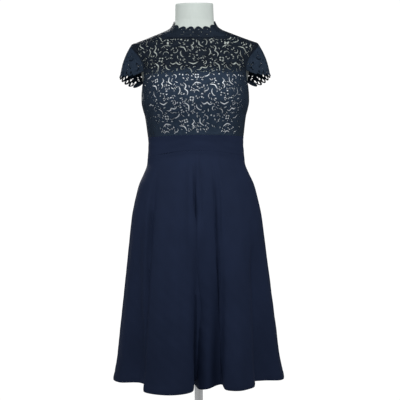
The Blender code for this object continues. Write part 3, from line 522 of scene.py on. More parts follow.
Section = namedtuple("Section", "height half_width front back power")
FIGURE_ROWS = (
    Section(0.7900, 0.112, 0.074, 0.080, 2.0),
    Section(0.7960, 0.132, 0.088, 0.095, 2.0),
    Section(0.8120, 0.146, 0.099, 0.107, 2.1),
    Section(0.8400, 0.155, 0.106, 0.116, 2.2),
    Section(0.8800, 0.160, 0.109, 0.120, 2.2),
    Section(0.9300, 0.158, 0.107, 0.117, 2.2),
    Section(0.9800, 0.148, 0.101, 0.106, 2.1),
    Section(1.0200, 0.136, 0.097, 0.095, 2.1),
    Section(1.0550, 0.130, 0.095, 0.088, 2.1),
    Section(1.0900, 0.128, 0.095, 0.0865, 2.1),
    Section(1.1200, 0.131, 0.098, 0.088, 2.1),
    Section(1.1650, 0.1370, 0.107, 0.0935, 2.2),
    Section(1.1850, 0.1425, 0.1113, 0.0958, 2.25),
    Section(1.2060, 0.1462, 0.1140, 0.098, 2.3),
    Section(1.2245, 0.1460, 0.1145, 0.0994, 2.3),
    Section(1.2430, 0.1450, 0.1133, 0.1005, 2.3),
    Section(1.2850, 0.1500, 0.103, 0.101, 2.3),
    Section(1.3250, 0.1620, 0.087, 0.096, 2.2),
    Section(1.3500, 0.1745, 0.075, 0.088, 2.1),
    Section(1.3575, 0.1775, 0.0700, 0.083, 2.0),
    Section(1.3640, 0.1755, 0.0665, 0.079, 2.0),
    Section(1.3683, 0.1650, 0.0645, 0.0765, 2.0),
    Section(1.3736, 0.1500, 0.0630, 0.074, 2.0),
    Section(1.3827, 0.1260, 0.0610, 0.070, 2.0),
    Section(1.3930, 0.1000, 0.0595, 0.066, 2.0),
    Section(1.4018, 0.0780, 0.0580, 0.062, 2.0),
    Section(1.4098, 0.0660, 0.0570, 0.0595, 2.0),
    Section(1.4200, 0.0590, 0.0560, 0.0575, 2.0),
    Section(1.4320, 0.0545, 0.0545, 0.0555, 2.0),
    Section(1.4800, 0.0530, 0.0530, 0.0530, 2.0),
)
BUST_HEIGHT, BUST_APART, BUST_SPREAD, BUST_DEPTH = 1.212, 0.074, 0.058, 0.018


class Table:
    """Rows of a short table, read between rows along a smooth curve that never overshoots them."""

    def __init__(self, rows):
        rows = np.array(rows, float)
        self.keys, self.values = rows[:, 0], rows[:, 1:]
        secants = np.diff(self.values, axis=0) / np.diff(self.keys)[:, None]
        before, after = secants[:-1], secants[1:]
        rising = before * after > 0
        inner = np.where(rising, 2 * before * after / np.where(rising, before + after, 1), 0)
        self.slopes = np.concatenate([secants[:1], inner, secants[-1:]])

    def at(self, key):
        key = np.clip(np.asarray(key, float), self.keys[0], self.keys[-1])
        i = np.clip(np.searchsorted(self.keys, key, side="right") - 1, 0, len(self.keys) - 2)
        width = (self.keys[i + 1] - self.keys[i])[..., None]
        t = (key - self.keys[i])[..., None] / width
        start = self.values[i] * (1 + 2 * t) + self.slopes[i] * width * t
        end = self.values[i + 1] * (3 - 2 * t) + self.slopes[i + 1] * width * (t - 1)
        return start * (1 - t) ** 2 + end * t**2


FIGURE = Table(FIGURE_ROWS)


def figure(angle, height):
    """A point of the dress form: 0 is its left side, a quarter turn its front."""
    half_width, front, back, power = np.moveaxis(FIGURE.at(height), -1, 0)
    across, forward = np.cos(angle), np.sin(angle)
    rounding = (np.abs(across) ** power + np.abs(forward) ** power) ** (-1 / power)
    x = half_width * across * rounding
    y = -np.where(forward > 0, front, back) * forward * rounding
    beside, above = (np.abs(x) - BUST_APART) / BUST_SPREAD, (height - BUST_HEIGHT) / BUST_SPREAD
    y = y - BUST_DEPTH * np.maximum(forward, 0) ** 2 * np.exp(-(beside**2) - above**2)
    return np.stack(np.broadcast_arrays(x, y, height), axis=-1)


def square_to(surface, u, v):
    """The unit normal of a surface, towards the outside of the figure."""
    around = surface(u + NUDGE, v) - surface(u - NUDGE, v)
    up = surface(u, v + NUDGE) - surface(u, v - NUDGE)
    normal = np.cross(up, around)
    return normal / np.linalg.norm(normal, axis=-1, keepdims=True)


def on_figure(angle, height, lift):
    """A point that far off the form, square to it."""
    return figure(angle, height) + square_to(figure, angle, height) * np.asarray(lift)[..., None]


def walk(points):
    """How far along a line of points each of them lies."""
    return np.concatenate([[0], np.cumsum(np.linalg.norm(np.diff(points, axis=0), axis=1))])


print("waist girth: %.3f m" % walk(figure(np.linspace(0, math.tau, 200), 1.09))[-1])

# %% [markdown]
# ## The dress form and its stand
#
# A shop's form is a moulded torso with a stretched cover, cut flat at the neck and closed
# underneath. It sits on a flange on a polished pole, which stands in a heavy round plate. The torso
# is many rings of the figure's surface, and the stand's pieces are turned on a lathe, so each is a
# profile spun round the pole. Their edges are eased with a few rings rather than left sharp. The
# floor is a pale disc that glows faintly, and it throws no light back up on the dress.

# %% Dress form
TIP_EASE, TIP_SPREAD, SHOULDER_POINT = 0.0035, 0.014, 1.3630
NECK_TOP, NECK_EDGE = 1.4800, 0.0025
NECK_LEAN, LEAN_FROM, LEAN_EASE = 0.075, 1.44, 0.04
FORM_COLUMNS, FORM_STEP = 96, 0.006


def close_ends(faces, rows, columns):
    """A fan over the first ring and one over the last."""
    first, last = rows * columns, rows * columns + 1
    turn = range(columns)
    low = [[first, (i + 1) % columns, i] for i in turn]
    high = [[last, last - 1 - columns + i, last - 1 - columns + (i + 1) % columns] for i in turn]
    return np.concatenate([faces, low, high])


def add_rings(name, rings, finish, slot):
    """A closed body from rings of points, the lowest first."""
    rings = np.asarray(rings)
    rows, columns = rings.shape[:2]
    points = np.concatenate([rings.reshape(-1, 3), [rings[0].mean(0)], [rings[-1].mean(0)]])
    faces = close_ends(grid(rows, columns, closed=True), rows, columns)
    return add_mesh(name, points, faces, finish, slot, sharp=60)


turns = np.arange(FORM_COLUMNS) * math.tau / FORM_COLUMNS
levels = np.arange(FIGURE_ROWS[0].height, NECK_TOP - NECK_EDGE, FORM_STEP)
rings = []
for height in np.unique(np.concatenate([levels, [row.height for row in FIGURE_ROWS[:-1]]])):
    ring = figure(turns, height)
    ring[:, 0] -= TIP_EASE * math.exp(-(((height - SHOULDER_POINT) / TIP_SPREAD) ** 2)) * np.cos(turns) ** 5
    rings.append(ring)
for ease in np.radians((0, 30, 60, 90)):
    ring = figure(turns, NECK_TOP - NECK_EDGE * (1 - math.sin(ease)))
    ring[:, :2] *= 1 - NECK_EDGE * (1 - math.cos(ease)) / FIGURE_ROWS[-1].half_width
    rings.append(ring)
for ring in rings:
    ring[:, 2] += NECK_LEAN * ring[:, 1] * smooth((ring[:, 2] - LEAN_FROM) / LEAN_EASE)
form = add_rings("form_torso", rings, COVER, "form_cover")
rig.replaces(form, "dress_form")
print("form:", triangles(form), "triangles")

# %% Pole, base plate and floor
POLE_RADIUS, FLANGE_RADIUS, FLANGE_THICK, FORM_FOOT = 0.0115, 0.0340, 0.0040, 0.7897
BASE_RADIUS, BASE_THICK, HUB_RADIUS, HUB_TOP = 0.1700, 0.0080, 0.0190, 0.0450
FLOOR_RADIUS, FLOOR_MIDDLE, FLOOR_THICK = 2.6, 1.0, 0.012
CORNER_POINTS = 5


def turned_piece(name, profile, ease, finish):
    """A profile of (radius, height) corners spun round the pole, each corner rounded by ease."""
    corners = np.array(profile, float)
    path = [corners[0]]
    for before, corner, after in zip(corners, corners[1:], corners[2:]):
        back = (before - corner) / np.linalg.norm(before - corner)
        on = (after - corner) / np.linalg.norm(after - corner)
        for t in np.linspace(0, 1, CORNER_POINTS):
            path.append(corner + ease * (back * (1 - t) ** 2 + on * t**2))
    path.append(corners[-1])
    rings = [np.stack([r * np.cos(turns), r * np.sin(turns), np.full(FORM_COLUMNS, z)], axis=1)
             for r, z in path]
    return add_rings(name, rings, finish, "steel")


pole = turned_piece("stand_pole", (
    (POLE_RADIUS * 0.5, HUB_TOP + SEAM),
    (POLE_RADIUS, HUB_TOP + SEAM),
    (POLE_RADIUS, FORM_FOOT - FLANGE_THICK),
    (FLANGE_RADIUS, FORM_FOOT - FLANGE_THICK),
    (FLANGE_RADIUS, FORM_FOOT),
    (FLANGE_RADIUS * 0.5, FORM_FOOT),
), 0.0008, STEEL)
base = turned_piece("stand_base", (
    (BASE_RADIUS * 0.5, 0),
    (BASE_RADIUS, 0),
    (BASE_RADIUS, BASE_THICK),
    (HUB_RADIUS, BASE_THICK),
    (HUB_RADIUS, HUB_TOP),
    (HUB_RADIUS * 0.5, HUB_TOP),
), 0.0022, STEEL)
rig.replaces(pole, "pole")
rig.replaces(base, "base_plate")
floor = turned_piece("floor", (
    (FLOOR_MIDDLE, -FLOOR_THICK),
    (FLOOR_RADIUS, -FLOOR_THICK),
    (FLOOR_RADIUS, -SEAM),
    (FLOOR_MIDDLE, -SEAM),
), 0.002, FLOOR)
floor.visible_diffuse = False
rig.stage(floor)
print("stand:", triangles(pole) + triangles(base), "triangles")

# %% [markdown]
# ## Seam lines
#
# Every edge of every cloth piece comes from a few seam lines on the figure: the waist, the sides,
# the armholes, the shoulders and the neck. Pieces that meet are kept 0.3 mm apart.

# %% Seam lines
UNDERARM = 1.2436
NECK_SIDE, NECK_FRONT, NECK_BACK = 1.4075, 1.3780, 1.4150
COLLAR_SIDE, COLLAR_FRONT, COLLAR_BACK = 1.4210, 1.4000, 1.4350
BAND_TOP_SIDE, BAND_TOP_FRONT = 1.1060, 1.1090
BAND_FOOT_SIDE, BAND_FOOT_FRONT = 1.0490, 1.0650
LINING_TOP, LINING_UNDERARM, LINING_FOOT = 1.2740, 1.2376, 1.1000
LINING_RISE = (0.20, 0.55)
ARMHOLE_FRONT, ARMHOLE_BACK = math.radians(27), math.radians(24)
COLLAR_LOBES, COLLAR_LOBE_RISE = 16, 0.0095
ZIP_HALF_WIDTH, ZIP_DOWN, ZIP_TOP = 0.0027, 0.19, 1.4320
PATTERN_ROUND = 0.130


def frontness(angle):
    return np.maximum(np.sin(angle), 0.0) ** 2


def band_top(angle):
    return between(BAND_TOP_SIDE, BAND_TOP_FRONT, frontness(angle))


def band_foot(angle):
    return between(BAND_FOOT_SIDE, BAND_FOOT_FRONT, frontness(angle))


def round_neck(angle, side, front, back):
    middle = np.where(np.sin(angle) > 0, front, back)
    return between(side, middle, smooth(np.abs(np.sin(angle))))


def neck_seam(angle):
    return round_neck(angle, NECK_SIDE, NECK_FRONT, NECK_BACK)


def lining_top(angle):
    low, high = LINING_RISE
    return between(LINING_UNDERARM, LINING_TOP, smooth((np.abs(np.sin(angle)) - low) / (high - low)))


def side_gap(height):
    """The turn from a side seam to the edge of a panel."""
    return SEAM / 2 / FIGURE.at(height)[..., 1]


def zip_gap(height):
    """The turn from the centre back to the edge of a panel beside the zip."""
    return (ZIP_HALF_WIDTH + SEAM) / FIGURE.at(height)[..., 0]


def armhole(turn, reach, ease=0.0):
    """The armhole's oval: how far round from the side, and how high. Turn 0 is on top."""
    half = (SHOULDER_POINT - UNDERARM) / 2
    share = (1 + np.cos(turn)) / 2
    round_it = (reach - ease / PATTERN_ROUND) * np.sqrt(np.maximum(np.sin(math.pi * share), 0.0))
    return round_it, UNDERARM + half + (half - ease) * np.cos(turn)


print("armhole height: %.0f mm" % ((SHOULDER_POINT - UNDERARM) * 1000))

# %% [markdown]
# ## The lining and the waistband
#
# Under the lace is a strapless body of pale satin, straight across the chest and the back and lower
# under the arms. Its top is turned over and stitched, so it is thicker there. The waistband is a
# plain band of crepe. Both are fitted pieces with no folds, so each is an even grid on the figure.
# Close cloth still drags a little between its seams, which a few shallow waves show.

# %% Fitted pieces
FITTED_COLUMNS, FITTED_EDGE, FITTED_EDGE_THICK = 192, 0.0016, 0.55
Fitted = namedtuple("Fitted", "name node start end")


def fitted_piece(piece, foot, top, thick, waves, finish, slot, rows):
    """A grid between two seams and two level lines. thick gives each point's two lifts."""
    columns = int((piece.end - piece.start) / math.tau * FITTED_COLUMNS)
    even = np.linspace(0, 1, rows)
    shares = 0.5 * smooth(even) + 0.5 * even
    angle, share = np.meshgrid(np.linspace(piece.start, piece.end, columns + 1), shares)
    height = between(foot(angle), top(angle), share)
    inner, outer = thick(angle, height)
    ripple = waves(angle, height)
    edge = smooth(np.minimum(angle - piece.start, piece.end - angle) * PATTERN_ROUND / FITTED_EDGE)
    outer = inner + (outer - inner) * between(FITTED_EDGE_THICK, 1.0, edge)
    flat = np.stack([angle.ravel() * PATTERN_ROUND, height.ravel()], axis=1)
    outside = on_figure(angle, height, outer + ripple).reshape(-1, 3)
    inside = on_figure(angle, height, inner + ripple).reshape(-1, 3)
    faces = grid(rows, columns + 1)
    made = add_shell(piece.name, outside, inside, faces, finish, slot, cloth=np.tile(flat, (2, 1)))
    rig.replaces(made, piece.node)
    return made


side = float(side_gap(BAND_TOP_SIDE))
beside_zip = float(zip_gap(BAND_TOP_SIDE))

# %% Lining
LINING_INNER, LINING_OUTER, LINING_HEM, LINING_HEM_THICK = 0.0010, 0.0026, 0.0100, 0.0004
LINING_ROWS = 60


def lining_foot(angle):
    return LINING_FOOT + 0 * angle


def lining_thick(angle, height):
    hem = smooth((height - lining_top(angle) + LINING_HEM) / 0.0008) * LINING_HEM_THICK
    tip = smooth((lining_top(angle) - height) / 0.0012)
    return LINING_INNER + 0 * angle, LINING_INNER + (LINING_OUTER - LINING_INNER + hem) * between(0.5, 1, tip)


def lining_waves(angle, height):
    return 0.00010 * np.sin(angle * 23 + height * 60) * np.sin(height * 95 + 2 * angle)


LINING = (
    Fitted("satin_front", "lining_front", side, RIGHT - side),
    Fitted("satin_back", "lining_back", RIGHT + side, math.tau - side),
)
satin = [fitted_piece(piece, lining_foot, lining_top, lining_thick, lining_waves,
                      SATIN, "pale_lining", LINING_ROWS)
         for piece in LINING]
print("lining:", sum(triangles(piece) for piece in satin), "triangles")

# %% Waistband
BAND_INNER, BAND_THICK, BAND_ROLL = 0.0029, 0.0019, 0.0012
BAND_CALM = 0.02
BAND_ROWS = 26


def band_thick(angle, height):
    away = np.minimum(height - band_foot(angle), band_top(angle) - height)
    roll = smooth(away / BAND_ROLL)
    return BAND_INNER + 0 * angle, BAND_INNER + BAND_THICK * between(0.8, 1.0, roll)


def band_waves(angle, height):
    calm = smooth((height - band_foot(angle)) / BAND_CALM) * smooth((band_top(angle) - height) / BAND_CALM)
    return calm * (0.00035 * np.sin(height * 260 + 3 * np.sin(angle * 3)) * np.sin(angle * 5 + 1) + 0.0001)


WAISTBAND = (
    Fitted("band_front", "waistband_front", side, RIGHT - side),
    Fitted("band_back_right", "waistband_back_right", RIGHT + side, BACK - beside_zip),
    Fitted("band_back_left", "waistband_back_left", BACK + beside_zip, math.tau - side),
)
bands = [fitted_piece(piece, band_foot, band_top, band_thick, band_waves, CREPE, "navy_crepe", BAND_ROWS)
         for piece in WAISTBAND]
print("waistband:", sum(triangles(piece) for piece in bands), "triangles")

# %% [markdown]
# ## The gaps in the lace
#
# Guipure lace is embroidered on a ground that is then dissolved, so its motifs hold each other and
# the gaps between them are real holes. It is drawn here the other way round, by its gaps, because
# they are what shows. Long cusped brackets and bent sprays stand for its scrolls, arcs cup curls, and
# there are four-petalled blossoms, buds, and many short slits. A gap's lengths are in millimetres. Its
# sweep is an arc's turn in degrees, a bracket's or a spray's bend, or how many petals a blossom has.

# %% Gap outlines
Gap = namedtuple("Gap", "shape x y size width turn sweep")


def ribbon(path, width):
    """The outline of a slit that follows a path and narrows to its ends."""
    along = np.gradient(path, axis=0)
    along /= np.linalg.norm(along, axis=1)[:, None]
    aside = np.stack([-along[:, 1], along[:, 0]], axis=1)
    half = width / 2 * np.sin(math.pi * np.linspace(0, 1, len(path)))[:, None] ** 0.45
    half[0] = half[-1] = 0
    return np.concatenate([path + aside * half, (path - aside * half)[-2:0:-1]])


def turned(points, degrees):
    turn = math.radians(degrees)
    return points @ np.array([[math.cos(turn), math.sin(turn)], [-math.sin(turn), math.cos(turn)]])


def circle(turns):
    return np.stack([np.cos(turns), np.sin(turns)], axis=1)


def gap_path(gap):
    """The line along the middle of a long gap, before it is turned."""
    if gap.shape == "arc":
        half = math.radians(gap.sweep) / 2
        return gap.size * (circle(np.linspace(-half, half, 11)) - ((1 + math.cos(half)) / 2, 0))
    if gap.shape == "slot":
        return np.stack([np.linspace(-0.5, 0.5, 5) * gap.size, np.zeros(5)], axis=1)
    share = np.linspace(-1, 1, 11 if gap.shape == "vee" else 17)
    bend = np.abs(share) ** 1.25 if gap.shape == "vee" else np.abs(np.sin(math.pi * share))
    return np.stack([share * gap.size, gap.sweep * (bend - 0.5)], axis=1)


def petals(gap):
    """The gaps round one blossom, each bulging at its middle."""
    for petal in range(gap.sweep):
        turns = math.tau * (petal + np.linspace(0.09, 0.91, 5)) / gap.sweep
        bulge = 1 - 0.16 * np.cos(gap.sweep * turns)
        outer = circle(turns) * (gap.size * bulge)[:, None]
        yield np.concatenate([outer, circle(turns)[::-1] * (gap.size - gap.width)])


def gap_outlines(gap):
    """The outlines of a gap about its own middle, in metres."""
    if gap.shape == "bud":
        turns = np.linspace(0, math.tau, 12, endpoint=False)
        leaf = np.stack([np.cos(turns), 1.15 * np.sin(turns) * np.sin(turns / 2) ** 0.7], axis=1)
        found = [leaf * (gap.size / 2, gap.width / 2)]
    elif gap.shape == "ring":
        found = petals(gap)
    else:
        found = [ribbon(gap_path(gap), gap.width)]
    return [turned(outline, gap.turn) / 1000 for outline in found]


print("points round an arc:", len(gap_outlines(Gap("arc", 0, 0, 12.0, 2.7, 0, 112))[0]))

# %% [markdown]
# ## Laying out the repeat
#
# A lace designer sets the largest motifs first, well apart, and then fills the ground between them
# with smaller ones. The script does the same by trial: each gap is tried at many places and turns
# drawn at random, and the best one stays. A motif wants room round it and its own kind far away. A
# filling slit wants the tightest place that still leaves enough thread. The repeat is wide, and every
# second row of repeats is moved across by half, so that no short pattern shows. The draws start from
# a fixed number, so the lace is the same on every run. At the end the cords take up part of each gap.

# %% Distances
def dense(loop, step):
    """Points along a closed loop, no further apart than step."""
    found = []
    for a, b in zip(loop, np.roll(loop, -1, 0)):
        count = max(int(math.ceil(np.linalg.norm(b - a) / step)), 1)
        found.append(a + (b - a) * (np.arange(count) / count)[:, None])
    return np.concatenate(found)


def tree_of(points):
    tree = kdtree.KDTree(len(points))
    for i, (x, y) in enumerate(points):
        tree.insert((x, y, 0), i)
    tree.balance()
    return tree


def distance_to(tree, points):
    return np.array([tree.find((x, y, 0))[2] for x, y in points])


# %% The repeat
LACE_WIDE, LACE_TALL = 0.168, 0.112
REPEAT = np.array([LACE_WIDE, LACE_TALL]) * 1000
REACH = 30  # millimetres, further than any gap reaches past the repeat's edge
MOTIF_SEED, MOTIF_TRIES, FILLING_SEED, FILLING_TRIES = 5, 90, 11, 160
ENOUGH_ROOM, KIND_FAR, KIND_WEIGHT = 9, 60, 0.14
BLOSSOM, BESIDE_BLOSSOM, FILLING_MIDDLE = 5.5, 12.6, 2.2

Motif = namedtuple("Motif", "shape count size first_width width sweep apart beside")
MOTIFS = (
    Motif("bracket", 4, 16.5, 2.9, 3.2, 5.6, 3.6, False),
    Motif("vee", 5, 13.5, 2.9, 3.2, 7.0, 3.4, False),
    Motif("arc", 5, 11.5, 3.3, 3.6, 112, 3.2, False),
    Motif("ring", 7, 6.0, 2.6, 3.5, 4, 2.2, False),
    Motif("ring", 4, 4.8, 2.3, 3.0, 4, 1.7, True),
    Motif("arc", 5, 5.8, 2.5, 2.9, 200, 2.2, False),
    Motif("slot", 15, 9.6, 2.7, 3.0, 0, 2.1, False),
    Motif("bud", 9, 6.6, 4.4, 4.6, 0, 2.0, False),
    Motif("slot", 16, 7.0, 2.5, 2.9, 0, 1.9, False),
)
Filling = namedtuple("Filling", "count size width apart")
FILLINGS = (Filling(30, 6.6, 2.7, 1.5), Filling(40, 5.0, 2.6, 1.4), Filling(30, 3.8, 2.5, 1.35))
SHAPES = ("bracket", "vee", "arc", "ring", "bud", "slot")


def wrapped(points):
    """Points with their images in the repeats round about."""
    return np.concatenate([points + (i + j / 2, j) * REPEAT for i in range(-2, 3) for j in (-1, 0, 1)])


def samples(gap, step):
    """Points round a gap where it lies in the repeat, in millimetres."""
    return np.concatenate([dense(outline * 1000 + (gap.x, gap.y), step) for outline in gap_outlines(gap)])


def best_gap(cloud, tries, step, draw, worth):
    """The drawn gap that is worth most, with its points. What leaves too little thread is worth None."""
    images = wrapped(cloud)
    near = (np.abs(images - REPEAT / 2) < REPEAT / 2 + REACH).all(1)
    tree = tree_of(images[near])
    best, most = None, -math.inf
    for _ in range(tries):
        gap = draw()
        points = samples(gap, step)
        room = distance_to(tree, points).min() if len(cloud) else ENOUGH_ROOM
        value = worth(gap, room, tree)
        if value is not None and value > most:
            best, most = (gap, points), value
    return best


# %% Motifs
def draw_motif(rng, motif, blossom):
    """One try: anywhere in the repeat, or for a small blossom beside a large one."""
    x, y, turn = rng.uniform(0, REPEAT[0]), rng.uniform(0, REPEAT[1]), rng.uniform(0, 360)
    if motif.beside:
        around = rng.uniform(0, math.tau)
        x = blossom.x + BESIDE_BLOSSOM * math.cos(around)
        y = blossom.y + BESIDE_BLOSSOM * math.sin(around)
    x, y = round(float(x % REPEAT[0]), 1), round(float(y % REPEAT[1]), 1)
    size = round(motif.size * rng.uniform(0.9, 1.1), 1)
    return Gap(motif.shape, x, y, size, motif.first_width, round(turn) % 360, motif.sweep)


def motif_worth(motif, kind, gap, room):
    """Room, up to what is enough, and some of the distance from its own kind."""
    if room < motif.apart:
        return None
    far = np.linalg.norm(wrapped(kind) - (gap.x, gap.y), axis=1).min() if len(kind) else 0
    return min(room, ENOUGH_ROOM) + KIND_WEIGHT * min(far, KIND_FAR)


def lay_motifs():
    """The motifs in the order of their shapes, at the width that they have once all are laid."""
    rng = np.random.default_rng(MOTIF_SEED)
    placed, cloud = [], np.zeros((0, 2))
    for motif in MOTIFS:
        for number in range(motif.count):
            kind = np.array([(gap.x, gap.y) for gap, _ in placed if gap.shape == motif.shape])
            blossoms = [gap for gap, _ in placed if gap.shape == "ring" and gap.size > BLOSSOM]
            blossom = blossoms[number] if motif.beside else None
            gap, points = best_gap(cloud, MOTIF_TRIES, 1.0, lambda: draw_motif(rng, motif, blossom),
                                   lambda gap, room, _: motif_worth(motif, kind, gap, room))
            placed.append((gap, motif.width))
            cloud = np.concatenate([cloud, points])
    placed.sort(key=lambda one: SHAPES.index(one[0].shape))
    return [gap._replace(width=width) for gap, width in placed]


# %% Fillings and cords
NARROWED = {"bracket": 1.0, "vee": 1.0, "arc": 0.76, "ring": 0.80, "bud": 0.80, "slot": 0.80}
LENGTHENED = {"arc": 1.10, "slot": 1.06}
SHORT_SLOT, SHORT_SLOT_NARROWED = 7, 0.84


def draw_filling(rng, filling):
    x, y = round(rng.uniform(0, REPEAT[0]), 1), round(rng.uniform(0, REPEAT[1]), 1)
    size = round(filling.size * rng.uniform(0.92, 1.08), 1)
    return Gap("slot", x, y, size, filling.width, int(rng.integers(0, 360)), 0)


def filling_worth(filling, gap, room, tree):
    """The tightest place is best, if its middle isn't inside another gap."""
    middle = distance_to(tree, [(gap.x, gap.y)])[0]
    return -room if room >= filling.apart and middle > FILLING_MIDDLE else None


def lay_fillings(placed):
    rng = np.random.default_rng(FILLING_SEED)
    placed = list(placed)
    cloud = np.concatenate([samples(gap, 0.8) for gap in placed])
    for filling in FILLINGS:
        for _ in range(filling.count):
            gap, points = best_gap(cloud, FILLING_TRIES, 0.8, lambda: draw_filling(rng, filling),
                                   lambda gap, room, tree: filling_worth(filling, gap, room, tree))
            placed.append(gap)
            cloud = np.concatenate([cloud, points])
    return placed


def corded(gap):
    """A gap once the cord round it is laid: narrower, and an arc or a slit a little longer."""
    short = gap.shape == "slot" and gap.size <= SHORT_SLOT
    narrowed = SHORT_SLOT_NARROWED if short else NARROWED[gap.shape]
    size = round(gap.size * LENGTHENED.get(gap.shape, 1.0), 1)
    return gap._replace(size=size, width=round(gap.width * narrowed, 1))


def repeat_spots(gaps, rows, columns):
    """Every gap over that many rows of repeats, with how far across and how far up it lies."""
    for gap in gaps:
        for row in range(rows):
            for column in range(-columns, columns):
                across = (column + 0.5 * (row % 2)) * LACE_WIDE + gap.x / 1000
                yield gap_outlines(gap), across, row * LACE_TALL + gap.y / 1000


GAPS = [corded(gap) for gap in lay_fillings(lay_motifs())]
print("gaps in the repeat:", sum(len(gap_outlines(gap)) for gap in GAPS), "from", len(GAPS),
      "motifs and slits")

# %% [markdown]
# ## Laying the repeat on a pattern piece
#
# A lace panel is cut flat, so its pattern needs two flat coordinates: the angle round the figure
# and the length of cloth up from the waist. A gap keeps its true size where it lands, because its
# outline is turned into pattern units with the surface's own stretch at that point. Near a seam a
# gap is left out if it would break the edge, and where the cloth curves so much that two gaps come
# together, the later one is left out too.

# %% Laying gaps
CLIMB = np.arange(BAND_TOP_SIDE, NECK_BACK + 0.004, 0.001)
CLIMB_LENGTH = walk(figure(math.radians(30), CLIMB))
EDGE_MARGIN, GAP_APART = 0.0026, 0.0008
EDGE_STEP, GAP_STEP = 0.0004, 0.0005


def height_at(length):
    return np.interp(length, CLIMB_LENGTH, CLIMB)


def length_at(height):
    return np.interp(height, CLIMB, CLIMB_LENGTH)


def bodice(angle, length):
    return figure(angle, height_at(length))


def laid(outlines, surface, centre, scale):
    """Flat outlines in metres, laid on a surface about one of its points, as scaled pattern points."""
    u, v = centre
    around = (surface(u + NUDGE, v) - surface(u - NUDGE, v)) / (2 * NUDGE)
    up = (surface(u, v + NUDGE) - surface(u, v - NUDGE)) / (2 * NUDGE)
    wide = np.linalg.norm(around)
    slant = up @ around / wide
    rise = math.sqrt(up @ up - slant**2)
    made = []
    for x, y in (outline.T for outline in outlines):
        made.append(np.stack([u + (x - slant * y / rise) / wide, v + y / rise], axis=1) * scale)
    return made


def inside(points, outline):
    """Which points are inside an outline."""
    x, y = points.T
    found = np.zeros(len(points), bool)
    for (ax, ay), (bx, by) in zip(outline, np.roll(outline, -1, 0)):
        crosses = (ay > y) != (by > y)
        if crosses.any():
            found ^= crosses & (x < (bx - ax) * (y - ay) / (by - ay + 1e-30) + ax)
    return found


def clear_gaps(gaps, outline, margin=EDGE_MARGIN):
    """The gaps that keep off the panel's edge and off the gaps before them."""
    edge = tree_of(dense(outline, EDGE_STEP))
    gaps = [gap for gap in gaps if inside(gap, outline).all() and distance_to(edge, gap).min() > margin]
    rounds = [dense(gap, GAP_STEP) for gap in gaps]
    owner = np.repeat(np.arange(len(gaps)), [len(points) for points in rounds])
    tree = tree_of(np.concatenate(rounds))
    dropped = set()
    for i, points in enumerate(rounds):
        if i in dropped:
            continue
        near = {owner[k] for x, y in points for _, k, _ in tree.find_range((x, y, 0), GAP_APART)}
        dropped |= {j for j in near if j > i}
    return [gap for i, gap in enumerate(gaps) if i not in dropped]


print("cloth from waist to neck: %.0f mm" % (CLIMB_LENGTH[-1] * 1000))

# %% [markdown]
# ## Cutting and thickening the lace
#
# The lace lies on the lining below, and nearer the form above it, where the gaps show the form. Each
# piece is a flat mesh between its outline and its gaps, made by constrained triangulation.
# Every gap in guipure is bound by a raised satin-stitch cord, so the wall is thin at the rim, thick
# a little way in, and flatter in the middle of a leaf. Extra loops of points beside each edge carry
# that profile, and the height of any point follows from how far it is from the nearest edge.

# %% How the lace lies
LACE_INNER, LACE_DROP = 0.0033, 0.0015
LINING_FADE_FROM, LINING_FADE = 0.006, 0.030
# Painted light from the satin behind: its share under the arms, and where it grows towards the front.
UNDERARM_BOUNCE, UNDERARM_BOUNCE_FROM, UNDERARM_BOUNCE_OVER = 0.45, 0.45, 0.4
ZIP_CLEAR, ZIP_CLEAR_OVER = 0.12, 0.25


def over_lining(angle, height):
    """1 where the lace lies on the lining, and 0 above it."""
    return 1 - smooth((height - lining_top(angle) + LINING_FADE_FROM) / LINING_FADE)


def painted_bounce(angle, height):
    """How much painted light from the satin behind pales the lace: least under the arms, where the lace is closest."""
    forward = smooth((np.abs(np.sin(angle)) - UNDERARM_BOUNCE_FROM) / UNDERARM_BOUNCE_OVER)
    return over_lining(angle, height) * between(UNDERARM_BOUNCE, 1.0, forward)


def lace_inner(angle, height):
    """How far off the form the lace lies. Above the lining it comes closer, but not beside the zip."""
    off_zip = smooth((np.abs(np.sin((angle - BACK) / 2)) - ZIP_CLEAR) / ZIP_CLEAR_OVER)
    return LACE_INNER - LACE_DROP * (1 - over_lining(angle, height)) * off_zip


print("lace off the form at the waist: %.1f mm" % (1000 * lace_inner(FRONT, BAND_TOP_FRONT)))


# %% Cutting lace
def beside(loop, distance):
    """A loop's points moved away from its inside."""
    along = np.roll(loop, -1, 0) - np.roll(loop, 1, 0)
    along /= np.maximum(np.linalg.norm(along, axis=1), 1e-12)[:, None]
    x, y = loop.T
    ahead = 1 if (x * np.roll(y, -1) - y * np.roll(x, -1)).sum() > 0 else -1
    return loop + np.stack([along[:, 1], -along[:, 0]], axis=1) * ahead * distance


def lattice(outline, step):
    """A loose grid of points over an outline."""
    (left, low), (right, high) = outline.min(0), outline.max(0)
    x, y = np.meshgrid(np.arange(left, right, step), np.arange(low, high, step * 0.87))
    x[1::2] += step / 2
    points = np.stack([x.ravel(), y.ravel()], axis=1)
    return points[inside(points, outline)]


INSIDE_ONLY, SAME_POINT = 1, 1e-9


